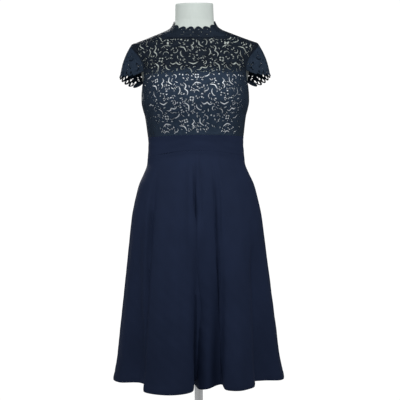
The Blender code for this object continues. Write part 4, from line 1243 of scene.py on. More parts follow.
def cut(loops, inner):
    """Triangles between an outline, which is the first loop, and the gaps in it."""
    points = np.concatenate([*loops, inner])
    edges, first = [], 0
    owner = np.full(len(points), -1)
    for number, loop in enumerate(loops):
        edges += [(first + i, first + (i + 1) % len(loop)) for i in range(len(loop))]
        owner[first:first + len(loop)] = number
        first += len(loop)
    _, _, faces, source, *_ = delaunay_2d_cdt(points.tolist(), edges, [], INSIDE_ONLY, SAME_POINT)
    assert all(source), "two outlines cross"
    faces = np.array([[source[i][0] for i in face] for face in faces])
    owners, middles = owner[faces], points[faces].mean(1)
    bridging = np.flatnonzero((owners[:, 0] > 0) & (owners == owners[:, :1]).all(1))
    bridging = bridging[np.argsort(owners[bridging, 0], kind="stable")]
    filling = [group[inside(middles[group], loops[owners[group[0], 0]])]
               for group in np.split(bridging, np.flatnonzero(np.diff(owners[bridging, 0])) + 1)]
    faces = np.delete(faces, np.concatenate(filling), axis=0)
    used = np.unique(faces)
    assert used[first - 1] == first - 1, "an outline point is unused"
    renumbered = np.zeros(len(points), int)
    renumbered[used] = np.arange(len(used))
    return points[used], renumbered[faces]


# %% A piece of lace
CORD = Table(((0.0, 0.00062), (0.00042, 0.00128), (0.00100, 0.00100), (0.00250, 0.00112), (0.02, 0.00112)))
CORD_LOOPS, CORD_STEP, CORD_KEPT = (0.00042, 0.00100), 0.002, 0.8
FINE_STEP, GROUND_STEP, GROUND_CLEAR, BACK_KEEPS = 0.00025, 0.0021, 0.0013, 5


def lace_piece(name, outline, gaps, place, scale, bounce_share):
    """place turns pattern points and a thickness into points of the lace's outer or inner face."""
    loops = [outline, *gaps]
    edge = tree_of(np.concatenate([dense(loop, FINE_STEP) for loop in loops]))
    ground = lattice(outline, GROUND_STEP)
    ground = ground[distance_to(edge, ground) > GROUND_CLEAR]
    for gap in gaps:
        near = np.flatnonzero(((ground > gap.min(0)) & (ground < gap.max(0))).all(1))
        ground = np.delete(ground, near[inside(ground[near], gap)], axis=0)
    extra = [ground]
    for far in CORD_LOOPS:
        rows = np.concatenate([beside(dense(outline, CORD_STEP), -far), *(beside(gap, far) for gap in gaps)])
        rows = rows[inside(rows, outline)]
        extra.append(rows[distance_to(edge, rows) > CORD_KEPT * far])
    points, faces = cut(loops, np.concatenate(extra))
    thick = CORD.at(distance_to(edge, points))[:, 0]
    rim = sum(len(loop) for loop in loops)
    thick[:rim] = CORD.at(0.0)[0]
    back, back_faces = cut(loops, ground[::BACK_KEEPS])
    outer = place(*(points / scale).T, thick)
    inner = place(*(back / scale).T, np.zeros(len(back)))
    cloth = np.concatenate([points, back])
    # The third cloth coordinate is the share of painted light from behind, which the lace's finish reads.
    cloth = np.column_stack([cloth, bounce_share(*(cloth / scale).T)])
    made = add_shell(name, outer, inner, faces, LACE_CLOTH, "navy_lace", back_faces, cloth, sharp=80)
    print(f"{name}: {len(gaps)} gaps, {triangles(made)} triangles")
    return made


# %% [markdown]
# ## The lace bodice
#
# The front is one panel and the back is two, which meet the zip. Each outline follows the seam
# lines: up the side seam, round the armhole, along the shoulder, round the neck, and back along the
# waistband. Towards the side seams the gaps are made smaller, so the lace is closer under the arms,
# and above the lining they are a little wider.

# %% Bodice panels
SCALE = np.array([PATTERN_ROUND, 1.0])
ARMHOLE_TURNS = np.radians(np.arange(180, -1, -5))
LOWER_POINTS, SHOULDER_POINTS, ZIP_POINTS, LEVEL_STEP = 36, 24, 90, math.radians(1.6)


def side_edge(side, towards, reach):
    """A panel's edge from the waist up its side seam, round the armhole and along the shoulder."""
    lower = np.linspace(band_top(side) + SEAM, UNDERARM, LOWER_POINTS)[:-1]
    round_it, height = armhole(ARMHOLE_TURNS, reach)
    upper = np.linspace(SHOULDER_POINT, neck_seam(side) - SEAM, SHOULDER_POINTS)[1:-1]
    heights = np.concatenate([lower, height, upper])
    gap = side_gap(heights)
    gap[len(lower):len(lower) + len(height)] = np.maximum(round_it, side_gap(height))
    return np.stack([side + towards * gap, heights], axis=1)


def level_edge(start, end, line, shift):
    angles = np.linspace(start, end, int(abs(end - start) / LEVEL_STEP) + 1)
    return np.stack([angles, line(angles) + shift], axis=1)


def front_outline():
    left, right = side_edge(LEFT, 1, ARMHOLE_FRONT), side_edge(RIGHT, -1, ARMHOLE_FRONT)
    gap = float(side_gap(NECK_SIDE))
    neck = level_edge(gap, RIGHT - gap, neck_seam, -SEAM)
    foot = level_edge(right[0, 0], left[0, 0], band_top, SEAM)
    return np.concatenate([left, neck, right[::-1], foot[1:-1]])


def back_outline(side, towards):
    edge = side_edge(side, towards, ARMHOLE_BACK)
    neck_end = BACK - towards * zip_gap(NECK_BACK)
    neck = level_edge(side + towards * side_gap(NECK_SIDE), neck_end, neck_seam, -SEAM)
    heights = np.linspace(NECK_BACK - SEAM, band_top(BACK) + SEAM, ZIP_POINTS)[1:-1]
    along_zip = np.stack([BACK - towards * zip_gap(heights), heights], axis=1)
    foot = level_edge(BACK - towards * zip_gap(BAND_TOP_SIDE), edge[0, 0], band_top, SEAM)
    return np.concatenate([edge, neck, along_zip, foot[:-1]])


# %% Bodice gaps
SIDE_CLOSE, SIDE_EASE, ARM_HEIGHT, ARM_EASE = 0.45, 0.35, 1.235, 0.05
SIDE_GAPS, YOKE_GAPS = 0.55, 1.12
TURN_STEP, TURN_STEPS = math.radians(2), 60
REPEATS_UP, REPEATS_ASIDE = 4, 2


def gap_growth(angle, height):
    """Gaps are smaller towards the sides, below the arms, and a little larger above the lining."""
    from_side = abs(math.asin(min(abs(math.sin(angle)), 1)))
    full = max(smooth((from_side - SIDE_CLOSE) / SIDE_EASE), smooth((height - ARM_HEIGHT) / ARM_EASE))
    return between(SIDE_GAPS, 1.0, full) * between(YOKE_GAPS, 1.0, over_lining(angle, height))


def bodice_gaps(middle):
    """The repeat over a whole panel, whose middle line is at this angle."""
    found = []
    angles = middle + TURN_STEP * np.arange(-TURN_STEPS, TURN_STEPS + 1)
    for outlines, across, up in repeat_spots(GAPS, REPEATS_UP, REPEATS_ASIDE):
        if up < CLIMB_LENGTH[-5]:
            height = float(height_at(up))
            steps = np.linalg.norm(np.diff(figure(angles, height), axis=0), axis=1)
            before, after = -np.cumsum(steps[:TURN_STEPS][::-1])[::-1], np.cumsum(steps[TURN_STEPS:])
            walked = np.concatenate([before, [0], after])
            if walked[0] < across < walked[-1]:
                angle = float(np.interp(across, walked, angles))
                growth = gap_growth(angle, height)
                found += laid([outline * growth for outline in outlines], bodice, (angle, up), SCALE)
    return found


def on_bodice(angle, length, thick):
    height = height_at(length)
    return on_figure(angle, height, lace_inner(angle, height) + thick)


# Painted light from the satin behind, at a point of a bodice panel's pattern.
def painted_bounce_bodice(angle, length):
    return painted_bounce(angle, height_at(length))


Panel = namedtuple("Panel", "name node outline middle")
PANELS = (
    Panel("lace_front", "bodice_front", front_outline(), FRONT),
    Panel("lace_back_right", "bodice_back_right", back_outline(RIGHT, 1), BACK),
    Panel("lace_back_left", "bodice_back_left", back_outline(math.tau, -1), BACK),
)
lace = []
for panel in PANELS:
    outline = np.stack([panel.outline[:, 0], length_at(panel.outline[:, 1])], axis=1) * SCALE
    gaps = clear_gaps(bodice_gaps(panel.middle), outline)
    lace.append(lace_piece(panel.name, outline, gaps, on_bodice, SCALE, painted_bounce_bodice))
    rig.replaces(lace[-1], panel.node)

# %% [markdown]
# ## The collar
#
# The collar is a narrow band of the lace's own border, so its top is a row of leaf-shaped lobes. They
# are evenly spaced along the cloth, which is measured round the neck first. Each lobe has a small
# bud-shaped eyelet with two slits below it, all fine, so the collar looks nearly close. Little of the
# form shows through it, so the lace there gets only a little painted light from behind.

# %% Collar
COLLAR_SCALE = np.array([0.075, 1.0])
COLLAR_POINTS, COLLAR_END_POINTS, COLLAR_LOBE_ROUND, COLLAR_END_CLEAR = 385, 12, 0.6, 1.1
COLLAR_MARGIN, COLLAR_BOUNCE = 0.0014, 0.15


def collar_foot(angle):
    """The line through the notches between the lobes."""
    return round_neck(angle, COLLAR_SIDE, COLLAR_FRONT, COLLAR_BACK)


ROUND_NECK = np.linspace(BACK, BACK + math.tau, 721)
NECK_WALKED = walk(figure(ROUND_NECK, collar_foot(ROUND_NECK)))
NECK_SHARE = NECK_WALKED / NECK_WALKED[-1]


def collar_top(angle):
    share = np.interp(angle, ROUND_NECK, NECK_SHARE)
    lobe = np.abs(np.sin(math.pi * COLLAR_LOBES * share)) ** COLLAR_LOBE_ROUND
    return collar_foot(angle) + COLLAR_LOBE_RISE * lobe


def collar_outline():
    gap = float(zip_gap(COLLAR_BACK))
    clear = COLLAR_END_CLEAR * gap
    angles = np.interp(np.linspace(0, 1, COLLAR_POINTS), NECK_SHARE, ROUND_NECK)
    angles = angles[(angles > BACK + clear) & (angles < BACK + math.tau - clear)]
    angles = np.concatenate([[BACK + gap], angles, [BACK + math.tau - gap]])
    foot = np.stack([angles, neck_seam(angles)], axis=1)
    top = np.stack([angles, collar_top(angles)], axis=1)[::-1]
    side_rows = np.linspace(0, 1, COLLAR_END_POINTS)[1:-1, None]
    up = between(foot[-1], top[0], side_rows)
    down = between(top[-1], foot[0], side_rows)
    return np.concatenate([foot, up, top, down]) * COLLAR_SCALE


def on_neck(angle, height, thick):
    return on_figure(angle, height, lace_inner(angle, height) + thick)


# A small fixed share of painted light from behind, since little of the form shows through the collar.
def painted_bounce_collar(angle, height):
    return COLLAR_BOUNCE + 0 * angle


COLLAR_GAPS = (
    Gap("bud", 0.0, 0.6, 4.0, 1.8, 270, 0),
    Gap("slot", -6.2, -6.8, 4.2, 1.5, 118, 0),
    Gap("slot", 0.0, -15.0, 5.2, 1.6, 24, 0),
)
eyelets = [outline + (gap.x / 1000, gap.y / 1000) for gap in COLLAR_GAPS for outline in gap_outlines(gap)]
collar_gaps = []
for lobe in range(COLLAR_LOBES):
    angle = float(np.interp((lobe + 0.5) / COLLAR_LOBES, NECK_SHARE, ROUND_NECK))
    collar_gaps += laid(eyelets, figure, (angle, float(collar_foot(angle))), COLLAR_SCALE)
outline = collar_outline()
collar_gaps = clear_gaps(collar_gaps, outline, COLLAR_MARGIN)
lace.append(lace_piece("lace_collar", outline, collar_gaps, on_neck, COLLAR_SCALE, painted_bounce_collar))
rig.replaces(lace[-1], "collar")

# %% [markdown]
# ## The cap sleeves
#
# A cap sleeve is sewn round the armhole and hangs free of the form, so it isn't on the figure's
# surface. It runs from the armhole's curve to a hem curve that stands out over the shoulder and
# drops towards the back. The sleeve is nearly close, with a few buds. Its hem is the lace's looped
# border: every lobe is a loop of thick cord, with a row of eyes above the loops at the back.

# %% Sleeve surface
SLEEVE_STEP = math.radians(7.5)
SLEEVE_FIRST, SLEEVE_LAST = -SLEEVE_STEP * 14, SLEEVE_STEP * 18
SLEEVE_TIP, SLEEVE_HEM, SLEEVE_BACK_DROP, SLEEVE_END = 0.2075, 1.2830, 0.0300, 0.0110
SLEEVE_FULLNESS, SLEEVE_BULGE, SLEEVE_BULGE_RISE = 0.90, 0.0050, 0.4
SLEEVE_DROP_START, SLEEVE_ROLL = 0.45, 0.2
SLEEVE_LOBES, SLEEVE_LOBE_RISE = 11, 0.0100
SLEEVE_SCALE, SLEEVE_LENGTH = np.array([0.046, 0.068]), 0.080
MILLIMETRE = 0.001


def sleeve_surface(side):
    """The surface of one sleeve, from the front foot of the armhole to the back foot, and down."""

    def seam(turn, lift):
        reach = np.where(turn < 0, ARMHOLE_FRONT, ARMHOLE_BACK)
        round_it, height = armhole(np.abs(turn), reach, SEAM)
        angle = np.copysign(round_it, -turn)
        angle = angle if side > 0 else math.pi - angle
        return on_figure(angle, height, lace_inner(angle, height) + lift)

    def hem(turn):
        share = (turn - SLEEVE_FIRST) / (SLEEVE_LAST - SLEEVE_FIRST)
        front, back = seam(np.float64(SLEEVE_FIRST), 0.0), seam(np.float64(SLEEVE_LAST), 0.0)
        out = np.sin(math.pi * np.clip(share, 0, 1)) ** SLEEVE_FULLNESS
        x, y = (between(front[i], back[i], (1 - np.cos(math.pi * share)) / 2) for i in (0, 1))
        drop = smooth((share - SLEEVE_DROP_START) / (1 - SLEEVE_DROP_START))
        x = between(x, side * SLEEVE_TIP, out) + side * SLEEVE_END * (1 - out)
        return np.stack([x, y, SLEEVE_HEM - SLEEVE_BACK_DROP * drop], axis=-1)

    def surface(turn, down):
        turn, down = np.broadcast_arrays(np.asarray(turn, float), np.asarray(down, float))
        outward = np.array([side, 0, SLEEVE_BULGE_RISE]) / math.hypot(1, SLEEVE_BULGE_RISE)
        bow = SLEEVE_BULGE * np.maximum(4 * down * (1 - down), 0)
        return between(seam(turn, 0.0), hem(turn), down[..., None]) + outward * bow[..., None]

    def place(turn, down, thick):
        along_seam = (seam(turn, MILLIMETRE) - seam(turn, 0.0)) / MILLIMETRE
        own = square_to(surface, turn, down) * side
        own *= np.sign((own * along_seam).sum(-1, keepdims=True))
        normal = between(along_seam, own, smooth(down / SLEEVE_ROLL)[..., None])
        normal /= np.linalg.norm(normal, axis=-1, keepdims=True)
        return surface(turn, down) + normal * thick[..., None]

    return surface, place


surface, _ = sleeve_surface(1)
print("sleeve length on top: %.0f mm" % (1000 * np.linalg.norm(surface(0.0, 1.0) - surface(0.0, 0.0))))

# %% Sleeves
SLEEVE_SEAM_POINTS, LOBE_POINTS, LOBE_ROUND = 81, 12, 0.55
LOOP, EYE = Gap("bud", 0, 0, 11.0, 4.2, 270, 0), Gap("bud", 0, 0, 7.6, 4.4, 270, 0)
LOOP_UP, EYE_UP, EYES_FROM = 0.0006, 0.0125, 0.5
SLEEVE_SLOT, SLEEVE_GAPS_END, SLEEVE_MARGIN, SLEEVE_BOUNCE = 7, 0.9, 0.0013, 0.65
WALK_TURN = 0.5


def hem_gaps(side, surface, shares, lengths):
    """A loop in every lobe but the end ones, and eyes between the loops of the back half."""
    found = []
    loop, eye = (gap_outlines(gap)[0] * (1, side) for gap in (LOOP, EYE))
    for number in range(1, SLEEVE_LOBES - 1):
        share = (number + 0.5) / SLEEVE_LOBES
        turn = between(SLEEVE_FIRST, SLEEVE_LAST, share)
        long = float(np.interp(share, shares[::-1], lengths[::-1]))
        found += laid([loop], surface, (turn, 1 - LOOP_UP / long), SLEEVE_SCALE)
        if share > EYES_FROM:
            turn += 0.5 / SLEEVE_LOBES * (SLEEVE_LAST - SLEEVE_FIRST)
            found += laid([eye], surface, (turn, 1 - EYE_UP / long), SLEEVE_SCALE)
    return found


def sleeve_gaps(surface):
    """The repeat's buds and short slits over the body of the sleeve."""
    found = []
    small = [gap for gap in GAPS if gap.shape == "bud" or gap.size < SLEEVE_SLOT]
    for outlines, across, up in repeat_spots(small, 1, 2):
        down = 1 - up / SLEEVE_LENGTH
        turn = across / float(np.linalg.norm(surface(WALK_TURN, down) - surface(0.0, down)) / WALK_TURN)
        if 0 < down < SLEEVE_GAPS_END and SLEEVE_FIRST < turn < SLEEVE_LAST:
            found += laid(outlines, surface, (turn, down), SLEEVE_SCALE)
    return found


# A fixed share of painted light from behind makes the sleeves' lace paler.
def painted_bounce_sleeve(turn, down):
    return SLEEVE_BOUNCE + 0 * turn


def add_sleeve(name, side):
    surface, place = sleeve_surface(side)
    turns = np.linspace(SLEEVE_FIRST, SLEEVE_LAST, SLEEVE_SEAM_POINTS)
    shares = np.linspace(1, 0, SLEEVE_LOBES * LOBE_POINTS + 1)
    hem_turns = between(SLEEVE_FIRST, SLEEVE_LAST, shares)
    lengths = np.linalg.norm(surface(hem_turns, 1.0) - surface(hem_turns, 0.0), axis=1)
    lobe = SLEEVE_LOBE_RISE * np.abs(np.sin(math.pi * SLEEVE_LOBES * shares)) ** LOBE_ROUND
    foot = np.stack([turns, 0 * turns], axis=1)
    hem = np.stack([hem_turns, 1 + lobe / lengths], axis=1)
    outline = np.concatenate([foot, hem]) * SLEEVE_SCALE
    gaps = clear_gaps(hem_gaps(side, surface, shares, lengths) + sleeve_gaps(surface), outline, SLEEVE_MARGIN)
    made = lace_piece(name, outline, gaps, place, SLEEVE_SCALE, painted_bounce_sleeve)
    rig.replaces(made, name.replace("lace_", ""))
    return made


lace += [add_sleeve("lace_sleeve_left", 1), add_sleeve("lace_sleeve_right", -1)]

# %% [markdown]
# ## The skirt
#
# The skirt is cut flared, so it fits at the waist and has more cloth than it needs at the hem. The
# spare cloth falls into folds, which start as faint lines under the waistband and deepen on the way
# down. Each fold line has a row in a table: where it ends at the hem, where it meets the waist, how
# far down it starts and how far its hem hangs. A smooth curve runs round through the lines at every
# height. Softer creases are added on top as shallow troughs and ridges, listed one by one.

# %% Skirt form
Flare = namedtuple("Flare", "down half_width front back")
FLARE_ROWS = (
    Flare(0.000, 0.1300, 0.0960, 0.0890),
    Flare(0.034, 0.1358, 0.1030, 0.0985),
    Flare(0.075, 0.1463, 0.1120, 0.1100),
    Flare(0.120, 0.1590, 0.1180, 0.1200),
    Flare(0.180, 0.1690, 0.1250, 0.1310),
    Flare(0.260, 0.1795, 0.1330, 0.1400),
    Flare(0.380, 0.1885, 0.1410, 0.1480),
    Flare(0.530, 0.1990, 0.1490, 0.1560),
    Flare(0.650, 0.2075, 0.1550, 0.1610),
    Flare(0.780, 0.2170, 0.1610, 0.1660),
    Flare(0.900, 0.2255, 0.1660, 0.1700),
    Flare(1.000, 0.2370, 0.1720, 0.1750),
)
Fold = namedtuple("Fold", "name hem_x hem_y waist start drop")
FOLD_ROWS = (
    Fold("left_side_crest", 0.238, 0.010, 0, 0.00, 0.000),
    Fold("left_side_shoulder", 0.226, -0.052, 14, 0.10, 0.002),
    Fold("left_outer_valley", 0.172, -0.082, 26, 0.38, 0.000),
    Fold("left_fold_outer_edge", 0.148, -0.146, 33, 0.28, 0.009),
    Fold("left_fold_crest", 0.112, -0.182, 50, 0.05, 0.014),
    Fold("left_fold_inner_edge", 0.076, -0.170, 62, 0.02, 0.013),
    Fold("left_inner_valley", 0.060, -0.118, 68, 0.02, 0.002),
    Fold("middle_fold_crest", 0.026, -0.146, 77, 0.02, 0.012),
    Fold("middle_fold_edge", 0.002, -0.136, 86, 0.02, 0.014),
    Fold("middle_valley", -0.009, -0.090, 90, 0.02, 0.002),
    Fold("right_fold_inner_edge", -0.020, -0.176, 94, 0.02, 0.017),
    Fold("right_fold_crest", -0.074, -0.204, 112, 0.03, 0.021),
    Fold("right_fold_outer_edge", -0.144, -0.172, 141, 0.14, 0.016),
    Fold("right_outer_valley", -0.160, -0.098, 152, 0.20, 0.000),
    Fold("right_side_shoulder", -0.216, -0.062, 166, 0.12, 0.002),
    Fold("right_side_crest", -0.238, 0.004, 180, 0.00, 0.000),
    Fold("right_back_shoulder", -0.218, 0.066, 196, 0.12, 0.000),
    Fold("right_back_valley", -0.160, 0.104, 210, 0.30, 0.000),
    Fold("right_back_crest", -0.128, 0.190, 226, 0.10, 0.010),
    Fold("right_back_inner", -0.062, 0.132, 246, 0.25, 0.002),
    Fold("centre_back_edge", -0.038, 0.194, 259, 0.12, 0.012),
    Fold("centre_back_crest", 0.000, 0.206, 270, 0.10, 0.014),
    Fold("centre_back_far_edge", 0.038, 0.194, 281, 0.12, 0.012),
    Fold("left_back_inner", 0.062, 0.130, 294, 0.25, 0.002),
    Fold("left_back_crest", 0.130, 0.188, 314, 0.10, 0.010),
    Fold("left_back_valley", 0.164, 0.106, 330, 0.30, 0.000),
    Fold("left_back_shoulder", 0.220, 0.070, 344, 0.12, 0.000),
)
HEM_HEIGHT, WAIST_EASE, FOLD_GROWTH = 0.4310, 0.060, 1.2
SKIRT_INNER, SKIRT_THICK = 0.0029, 0.0014
FLARE = Table(FLARE_ROWS)
FOLDS = np.array([row[1:] for row in FOLD_ROWS])
NAMES = [row.name for row in FOLD_ROWS]


def fold_point(index, down):
    """Where a fold's line is, this share of the way down the skirt."""
    hem_x, hem_y, waist, start, drop = np.moveaxis(FOLDS[index % len(FOLDS)], -1, 0)
    half_width, front, back = np.moveaxis(FLARE.at(down), -1, 0)
    hem = FLARE_ROWS[-1]
    waist = np.radians(waist)
    across, forward = hem_x / hem.half_width, -hem_y / np.where(hem_y < 0, hem.front, hem.back)
    turn = (np.arctan2(forward, across) - waist + math.pi) % math.tau - math.pi
    grown = np.maximum((down - start) / (1 - start), 0.0) ** FOLD_GROWTH
    out = 1 + (np.hypot(across, forward) - 1) * grown
    angle = waist + turn * down
    reach = np.where(np.sin(angle) > 0, front, back)
    height = between(band_foot(waist) - SEAM / 5, HEM_HEIGHT - drop, down)
    flared = np.stack([half_width * np.cos(angle) * out, -reach * np.sin(angle) * out, height], axis=-1)
    return between(figure(angle, height), flared, smooth(down / WAIST_EASE)[..., None])


def skirt(place, down):
    """A point of the skirt: place counts the fold lines round from the left side."""
    place, down = np.broadcast_arrays(np.asarray(place, float), np.asarray(down, float))
    first = np.floor(place).astype(int)
    share = (place - first)[..., None]
    near = [fold_point(first + i, down) for i in (-1, 0, 1, 2)]
    knots = [0 * share]
    for a, b in zip(near, near[1:]):
        knots.append(knots[-1] + np.sqrt(np.linalg.norm(b - a, axis=-1, keepdims=True)))
    t = between(knots[1], knots[2], share)

    def mix(a, b, low, high):
        return between(a, b, (t - knots[low]) / (knots[high] - knots[low]))

    before, here = mix(near[0], near[1], 0, 1), mix(near[1], near[2], 1, 2)
    after = mix(near[2], near[3], 2, 3)
    return mix(mix(before, here, 0, 2), mix(here, after, 1, 3), 1, 2)


print("skirt hem: %.2f m round" % walk(skirt(np.linspace(0, len(NAMES), 400), 1.0))[-1])

# %% [markdown]
# ### Creases
#
# Each crease runs down the cloth from one place on the waist towards another on the hem, and bends
# aside as the flare grows. Its places are counted in fold lines round from the left side. Width is
# how far it spreads across the cloth and depth is how deep it is, both in metres. A crease with a lean
# is a step, high on one side and low on the other, which is how the edge of an unpressed pleat looks.
# Depth below 0 is a ridge. Between two folds the hem is drawn up a little, which is what the tucks do:
# a place, how far it spreads, counted in fold lines, and how high it goes.

# %% Creases
Crease = namedtuple("Crease", "top foot start end width depth lean")
CREASES = (
    Crease(9.50, 5.80, 0.00, 0.80, 0.0042, 0.0034, 0.0),
    Crease(9.00, 9.00, 0.22, 1.30, 0.0200, -0.0240, 0.0),
    Crease(9.00, 9.00, 0.50, 1.60, 0.0150, -0.0140, 0.0),
    Crease(9.50, 9.50, 0.70, 1.60, 0.0160, 0.0080, 0.0),
    Crease(10.2, 10.2, 0.00, 0.45, 0.0070, -0.0026, 0.0),
    Crease(8.60, 8.60, 0.00, 0.30, 0.0050, -0.0020, 0.0),
    Crease(7.85, 7.85, 0.00, 0.35, 0.0040, 0.0026, 0.0),
    Crease(6.45, 5.70, 0.00, 1.30, 0.0044, 0.0062, 0.0),
    Crease(6.00, 6.00, 0.28, 1.30, 0.0110, -0.0090, 0.0),
    Crease(5.45, 5.40, 0.00, 0.60, 0.0070, -0.0028, 0.0),
    Crease(10.45, 10.45, 0.02, 1.00, 0.0130, 0.0055, 0.0),
    Crease(11.85, 12.30, 0.04, 1.30, 0.0085, 0.0125, 0.0),
    Crease(11.45, 11.60, 0.12, 0.95, 0.0120, -0.0025, 0.0),
    Crease(12.55, 12.55, 0.60, 1.60, 0.0160, 0.0080, 0.0),
    Crease(3.75, 3.05, 0.15, 1.30, 0.0120, -0.0030, 0.0),
    Crease(2.45, 2.45, 0.25, 1.60, 0.0180, 0.0130, 0.0),
    Crease(4.60, 4.40, 0.20, 1.00, 0.0170, 0.0020, 0.0),
    Crease(11.4, 11.3, 0.30, 1.00, 0.0180, 0.0018, 0.0),
    Crease(14.4, 14.5, 0.25, 1.00, 0.0150, 0.0020, 0.0),
    Crease(17.0, 17.0, 0.12, 0.85, 0.0110, 0.0030, 0.0),
    Crease(18.4, 18.6, 0.00, 0.50, 0.0060, 0.0024, 1.0),
    Crease(19.0, 19.0, 0.05, 0.80, 0.0090, 0.0034, 0.0),
    Crease(20.3, 20.4, 0.10, 1.00, 0.0120, 0.0018, 0.0),
    Crease(21.9, 21.8, 0.20, 1.00, 0.0120, 0.0018, 0.0),
    Crease(23.0, 23.0, 0.05, 0.80, 0.0090, 0.0034, 0.0),
    Crease(23.7, 23.5, 0.00, 0.45, 0.0060, 0.0024, -1.0),
    Crease(25.0, 25.0, 0.12, 0.85, 0.0110, 0.0030, 0.0),
    Crease(26.2, 26.3, 0.30, 1.00, 0.0140, 0.0018, 0.0),
)
HEM_TUCKS = ((9.15, 0.35, 0.020), (2.45, 0.35, 0.004), (12.60, 0.35, 0.004))
CREASE_COMES, CREASE_GOES, LEAN_STEP = 5, 2.5, 1.6


def crease_offset(place, down, walked):
    """How far the creases push each point out of the skirt's form."""
    offset = np.zeros_like(place)
    for crease in CREASES:
        share = (down[:, 0] - crease.start) / (crease.end - crease.start)
        centre = between(crease.top, crease.foot, down[:, 0] ** 2)
        line = np.array([np.interp(c, p, w) for c, p, w in zip(centre, place, walked)])
        far = (walked - line[:, None]) / crease.width
        on_panel = (place.min() < centre) & (centre < place.max())
        strength = crease.depth * smooth(share * CREASE_COMES) * smooth((1 - share) * CREASE_GOES) * on_panel
        groove = np.exp(-(far**2))
        step = far * groove * LEAN_STEP * crease.lean
        offset -= strength[:, None] * (groove if crease.lean == 0 else step)
    return offset


# %% Crepe
SKIRT_LENGTH, HEM_TURN, HEM_THICK, WAIST_THICK = 0.65, 0.020, 0.0006, 0.0005
RIPPLE, CREASE_CLEAR = 0.0006, 0.012


def crepe_ripple(walked, down):
    """The cloth's own fine unevenness, which starts below the waist."""
    wave = RIPPLE * np.sin(walked * 150 + 3 * np.sin(down * 9)) * np.sin(down * 31 + walked * 11)
    return wave * smooth(down * 4)


def crepe_thick(edge, down):
    """The wall's thickness: rolled thin at its edges, and thicker in the hem and at the waist."""
    foot = (1 - down) * SKIRT_LENGTH
    hem = HEM_THICK * smooth((HEM_TURN - foot) / 0.0015) * between(0.3, 1.0, smooth(foot / 0.0025))
    cloth = SKIRT_THICK * between(0.5, 1.0, smooth(np.minimum(edge / 0.0018, foot / 0.0012 + 0.2)))
    waist = WAIST_THICK * (1 - smooth(down / 0.03))
    return (cloth + hem + waist) * between(0.85, 1.0, smooth(down / 0.003))


# %% Skirt panels
SKIRT_ROWS = np.unique(np.concatenate([np.linspace(0, 0.12, 26), np.linspace(0.12, 1, 104)]))
COLUMNS_A_FOLD, CLOSED_SEAM = 11, 0.00001


def skirt_grid(start, end, zip_first, zip_last):
    """Points of a panel, how far down and where, drawn in at its edges to leave room for the zip."""
    columns = (end - start) * COLUMNS_A_FOLD + 1
    down, place = np.meshgrid(SKIRT_ROWS, np.linspace(start, end, columns), indexing="ij")
    edge_place, edge_down = place[:, [0, -1]], down[:, [0, -1]]
    ahead, behind = skirt(edge_place + NUDGE, edge_down), skirt(edge_place - NUDGE, edge_down)
    speed = np.linalg.norm(ahead - behind, axis=-1)
    for column, towards, by_zip in ((0, 1, zip_first), (-1, -1, zip_last)):
        width = np.where((SKIRT_ROWS <= ZIP_DOWN) & by_zip, ZIP_HALF_WIDTH + SEAM, CLOSED_SEAM)
        place[:, column] += towards * (width * 2 * NUDGE / speed[:, column])
    return down, place


def skirt_panel(name, node, start, end, zip_first=False, zip_last=False):
    down, place = skirt_grid(start, end, zip_first, zip_last)
    form = skirt(place, down)
    outward = -square_to(skirt, place, down)
    for tuck, wide, high in HEM_TUCKS:
        form[..., 2] += high * np.exp(-(((place - tuck) / wide) ** 2)) * down**8
    steps = np.linalg.norm(np.diff(form, axis=1), axis=-1)
    walked = np.concatenate([np.zeros((len(form), 1)), np.cumsum(steps, axis=1)], axis=1)
    edge = np.minimum(walked, walked[:, -1:] - walked)
    offset = (crease_offset(place, down, walked) + crepe_ripple(walked, down)) * smooth(edge / CREASE_CLEAR)
    low = SKIRT_INNER * (1 - smooth(down / WAIST_EASE)) + offset
    flat = np.stack([walked.ravel(), SKIRT_LENGTH * (1 - down).ravel()], axis=1)
    outer = (form + outward * (low + crepe_thick(edge, down))[..., None]).reshape(-1, 3)
    inner = (form + outward * low[..., None]).reshape(-1, 3)
    made = add_shell(name, outer, inner, grid(*place.shape), CREPE, "navy_crepe", cloth=np.tile(flat, (2, 1)))
    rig.replaces(made, node)
    print(f"{name}: {triangles(made)} triangles, hem {walked[-1, -1]:.2f} m")
    return made


RIGHT_SIDE, CENTRE_BACK = NAMES.index("right_side_crest"), NAMES.index("centre_back_crest")
ALL_ROUND = len(NAMES)
skirts = [
    skirt_panel("crepe_skirt_front", "skirt_front", 0, RIGHT_SIDE),
    skirt_panel("crepe_skirt_back_right", "skirt_back_right", RIGHT_SIDE, CENTRE_BACK, zip_last=True),
    skirt_panel("crepe_skirt_back_left", "skirt_back_left", CENTRE_BACK, ALL_ROUND, zip_first=True),
]

# %% [markdown]
# ## The zip
#
# A concealed zip shows only two rolled edges of tape that meet in a fine line, with the tips of the
# teeth deep between them. The tape's section is swept down the centre back, from the neck to just
# below the hips. The slider and its pull tab are hard and keep their CAD shape. They get a painted
# metal finish and small bevels.

# %% Zip tape
WELT = np.array([(-2.7, 2.7), (-2.7, 3.5), (-2.0, 4.0), (-1.0, 3.9), (-0.25, 3.5), (0.0, 2.9),
                 (0.25, 3.5), (1.0, 3.9), (2.0, 4.0), (2.7, 3.5), (2.7, 2.7)]) / 1000
ACROSS_ZIP = np.array([1.0, 0, 0])


def zip_line():
    """Points up the zip's middle and the directions out of the cloth there."""
    downs = np.linspace(ZIP_DOWN, 0.004, 60)
    centre = np.full_like(downs, CENTRE_BACK)
    heights = np.linspace(band_foot(BACK), ZIP_TOP, 130)
    middle = np.concatenate([skirt(centre, downs), figure(BACK, heights)])
    outward = np.concatenate([-square_to(skirt, centre, downs), square_to(figure, BACK, heights)])
    return middle, outward


middle, outward = zip_line()
section = middle[:, None] + ACROSS_ZIP * WELT[None, :, :1] + outward[:, None] * WELT[None, :, 1:]
welts = add_rings("zip_welts", section, TAPE, "navy_tape")
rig.replaces(welts, "zip_tape")
print("zip: %.0f mm long" % (1000 * walk(middle)[-1]))

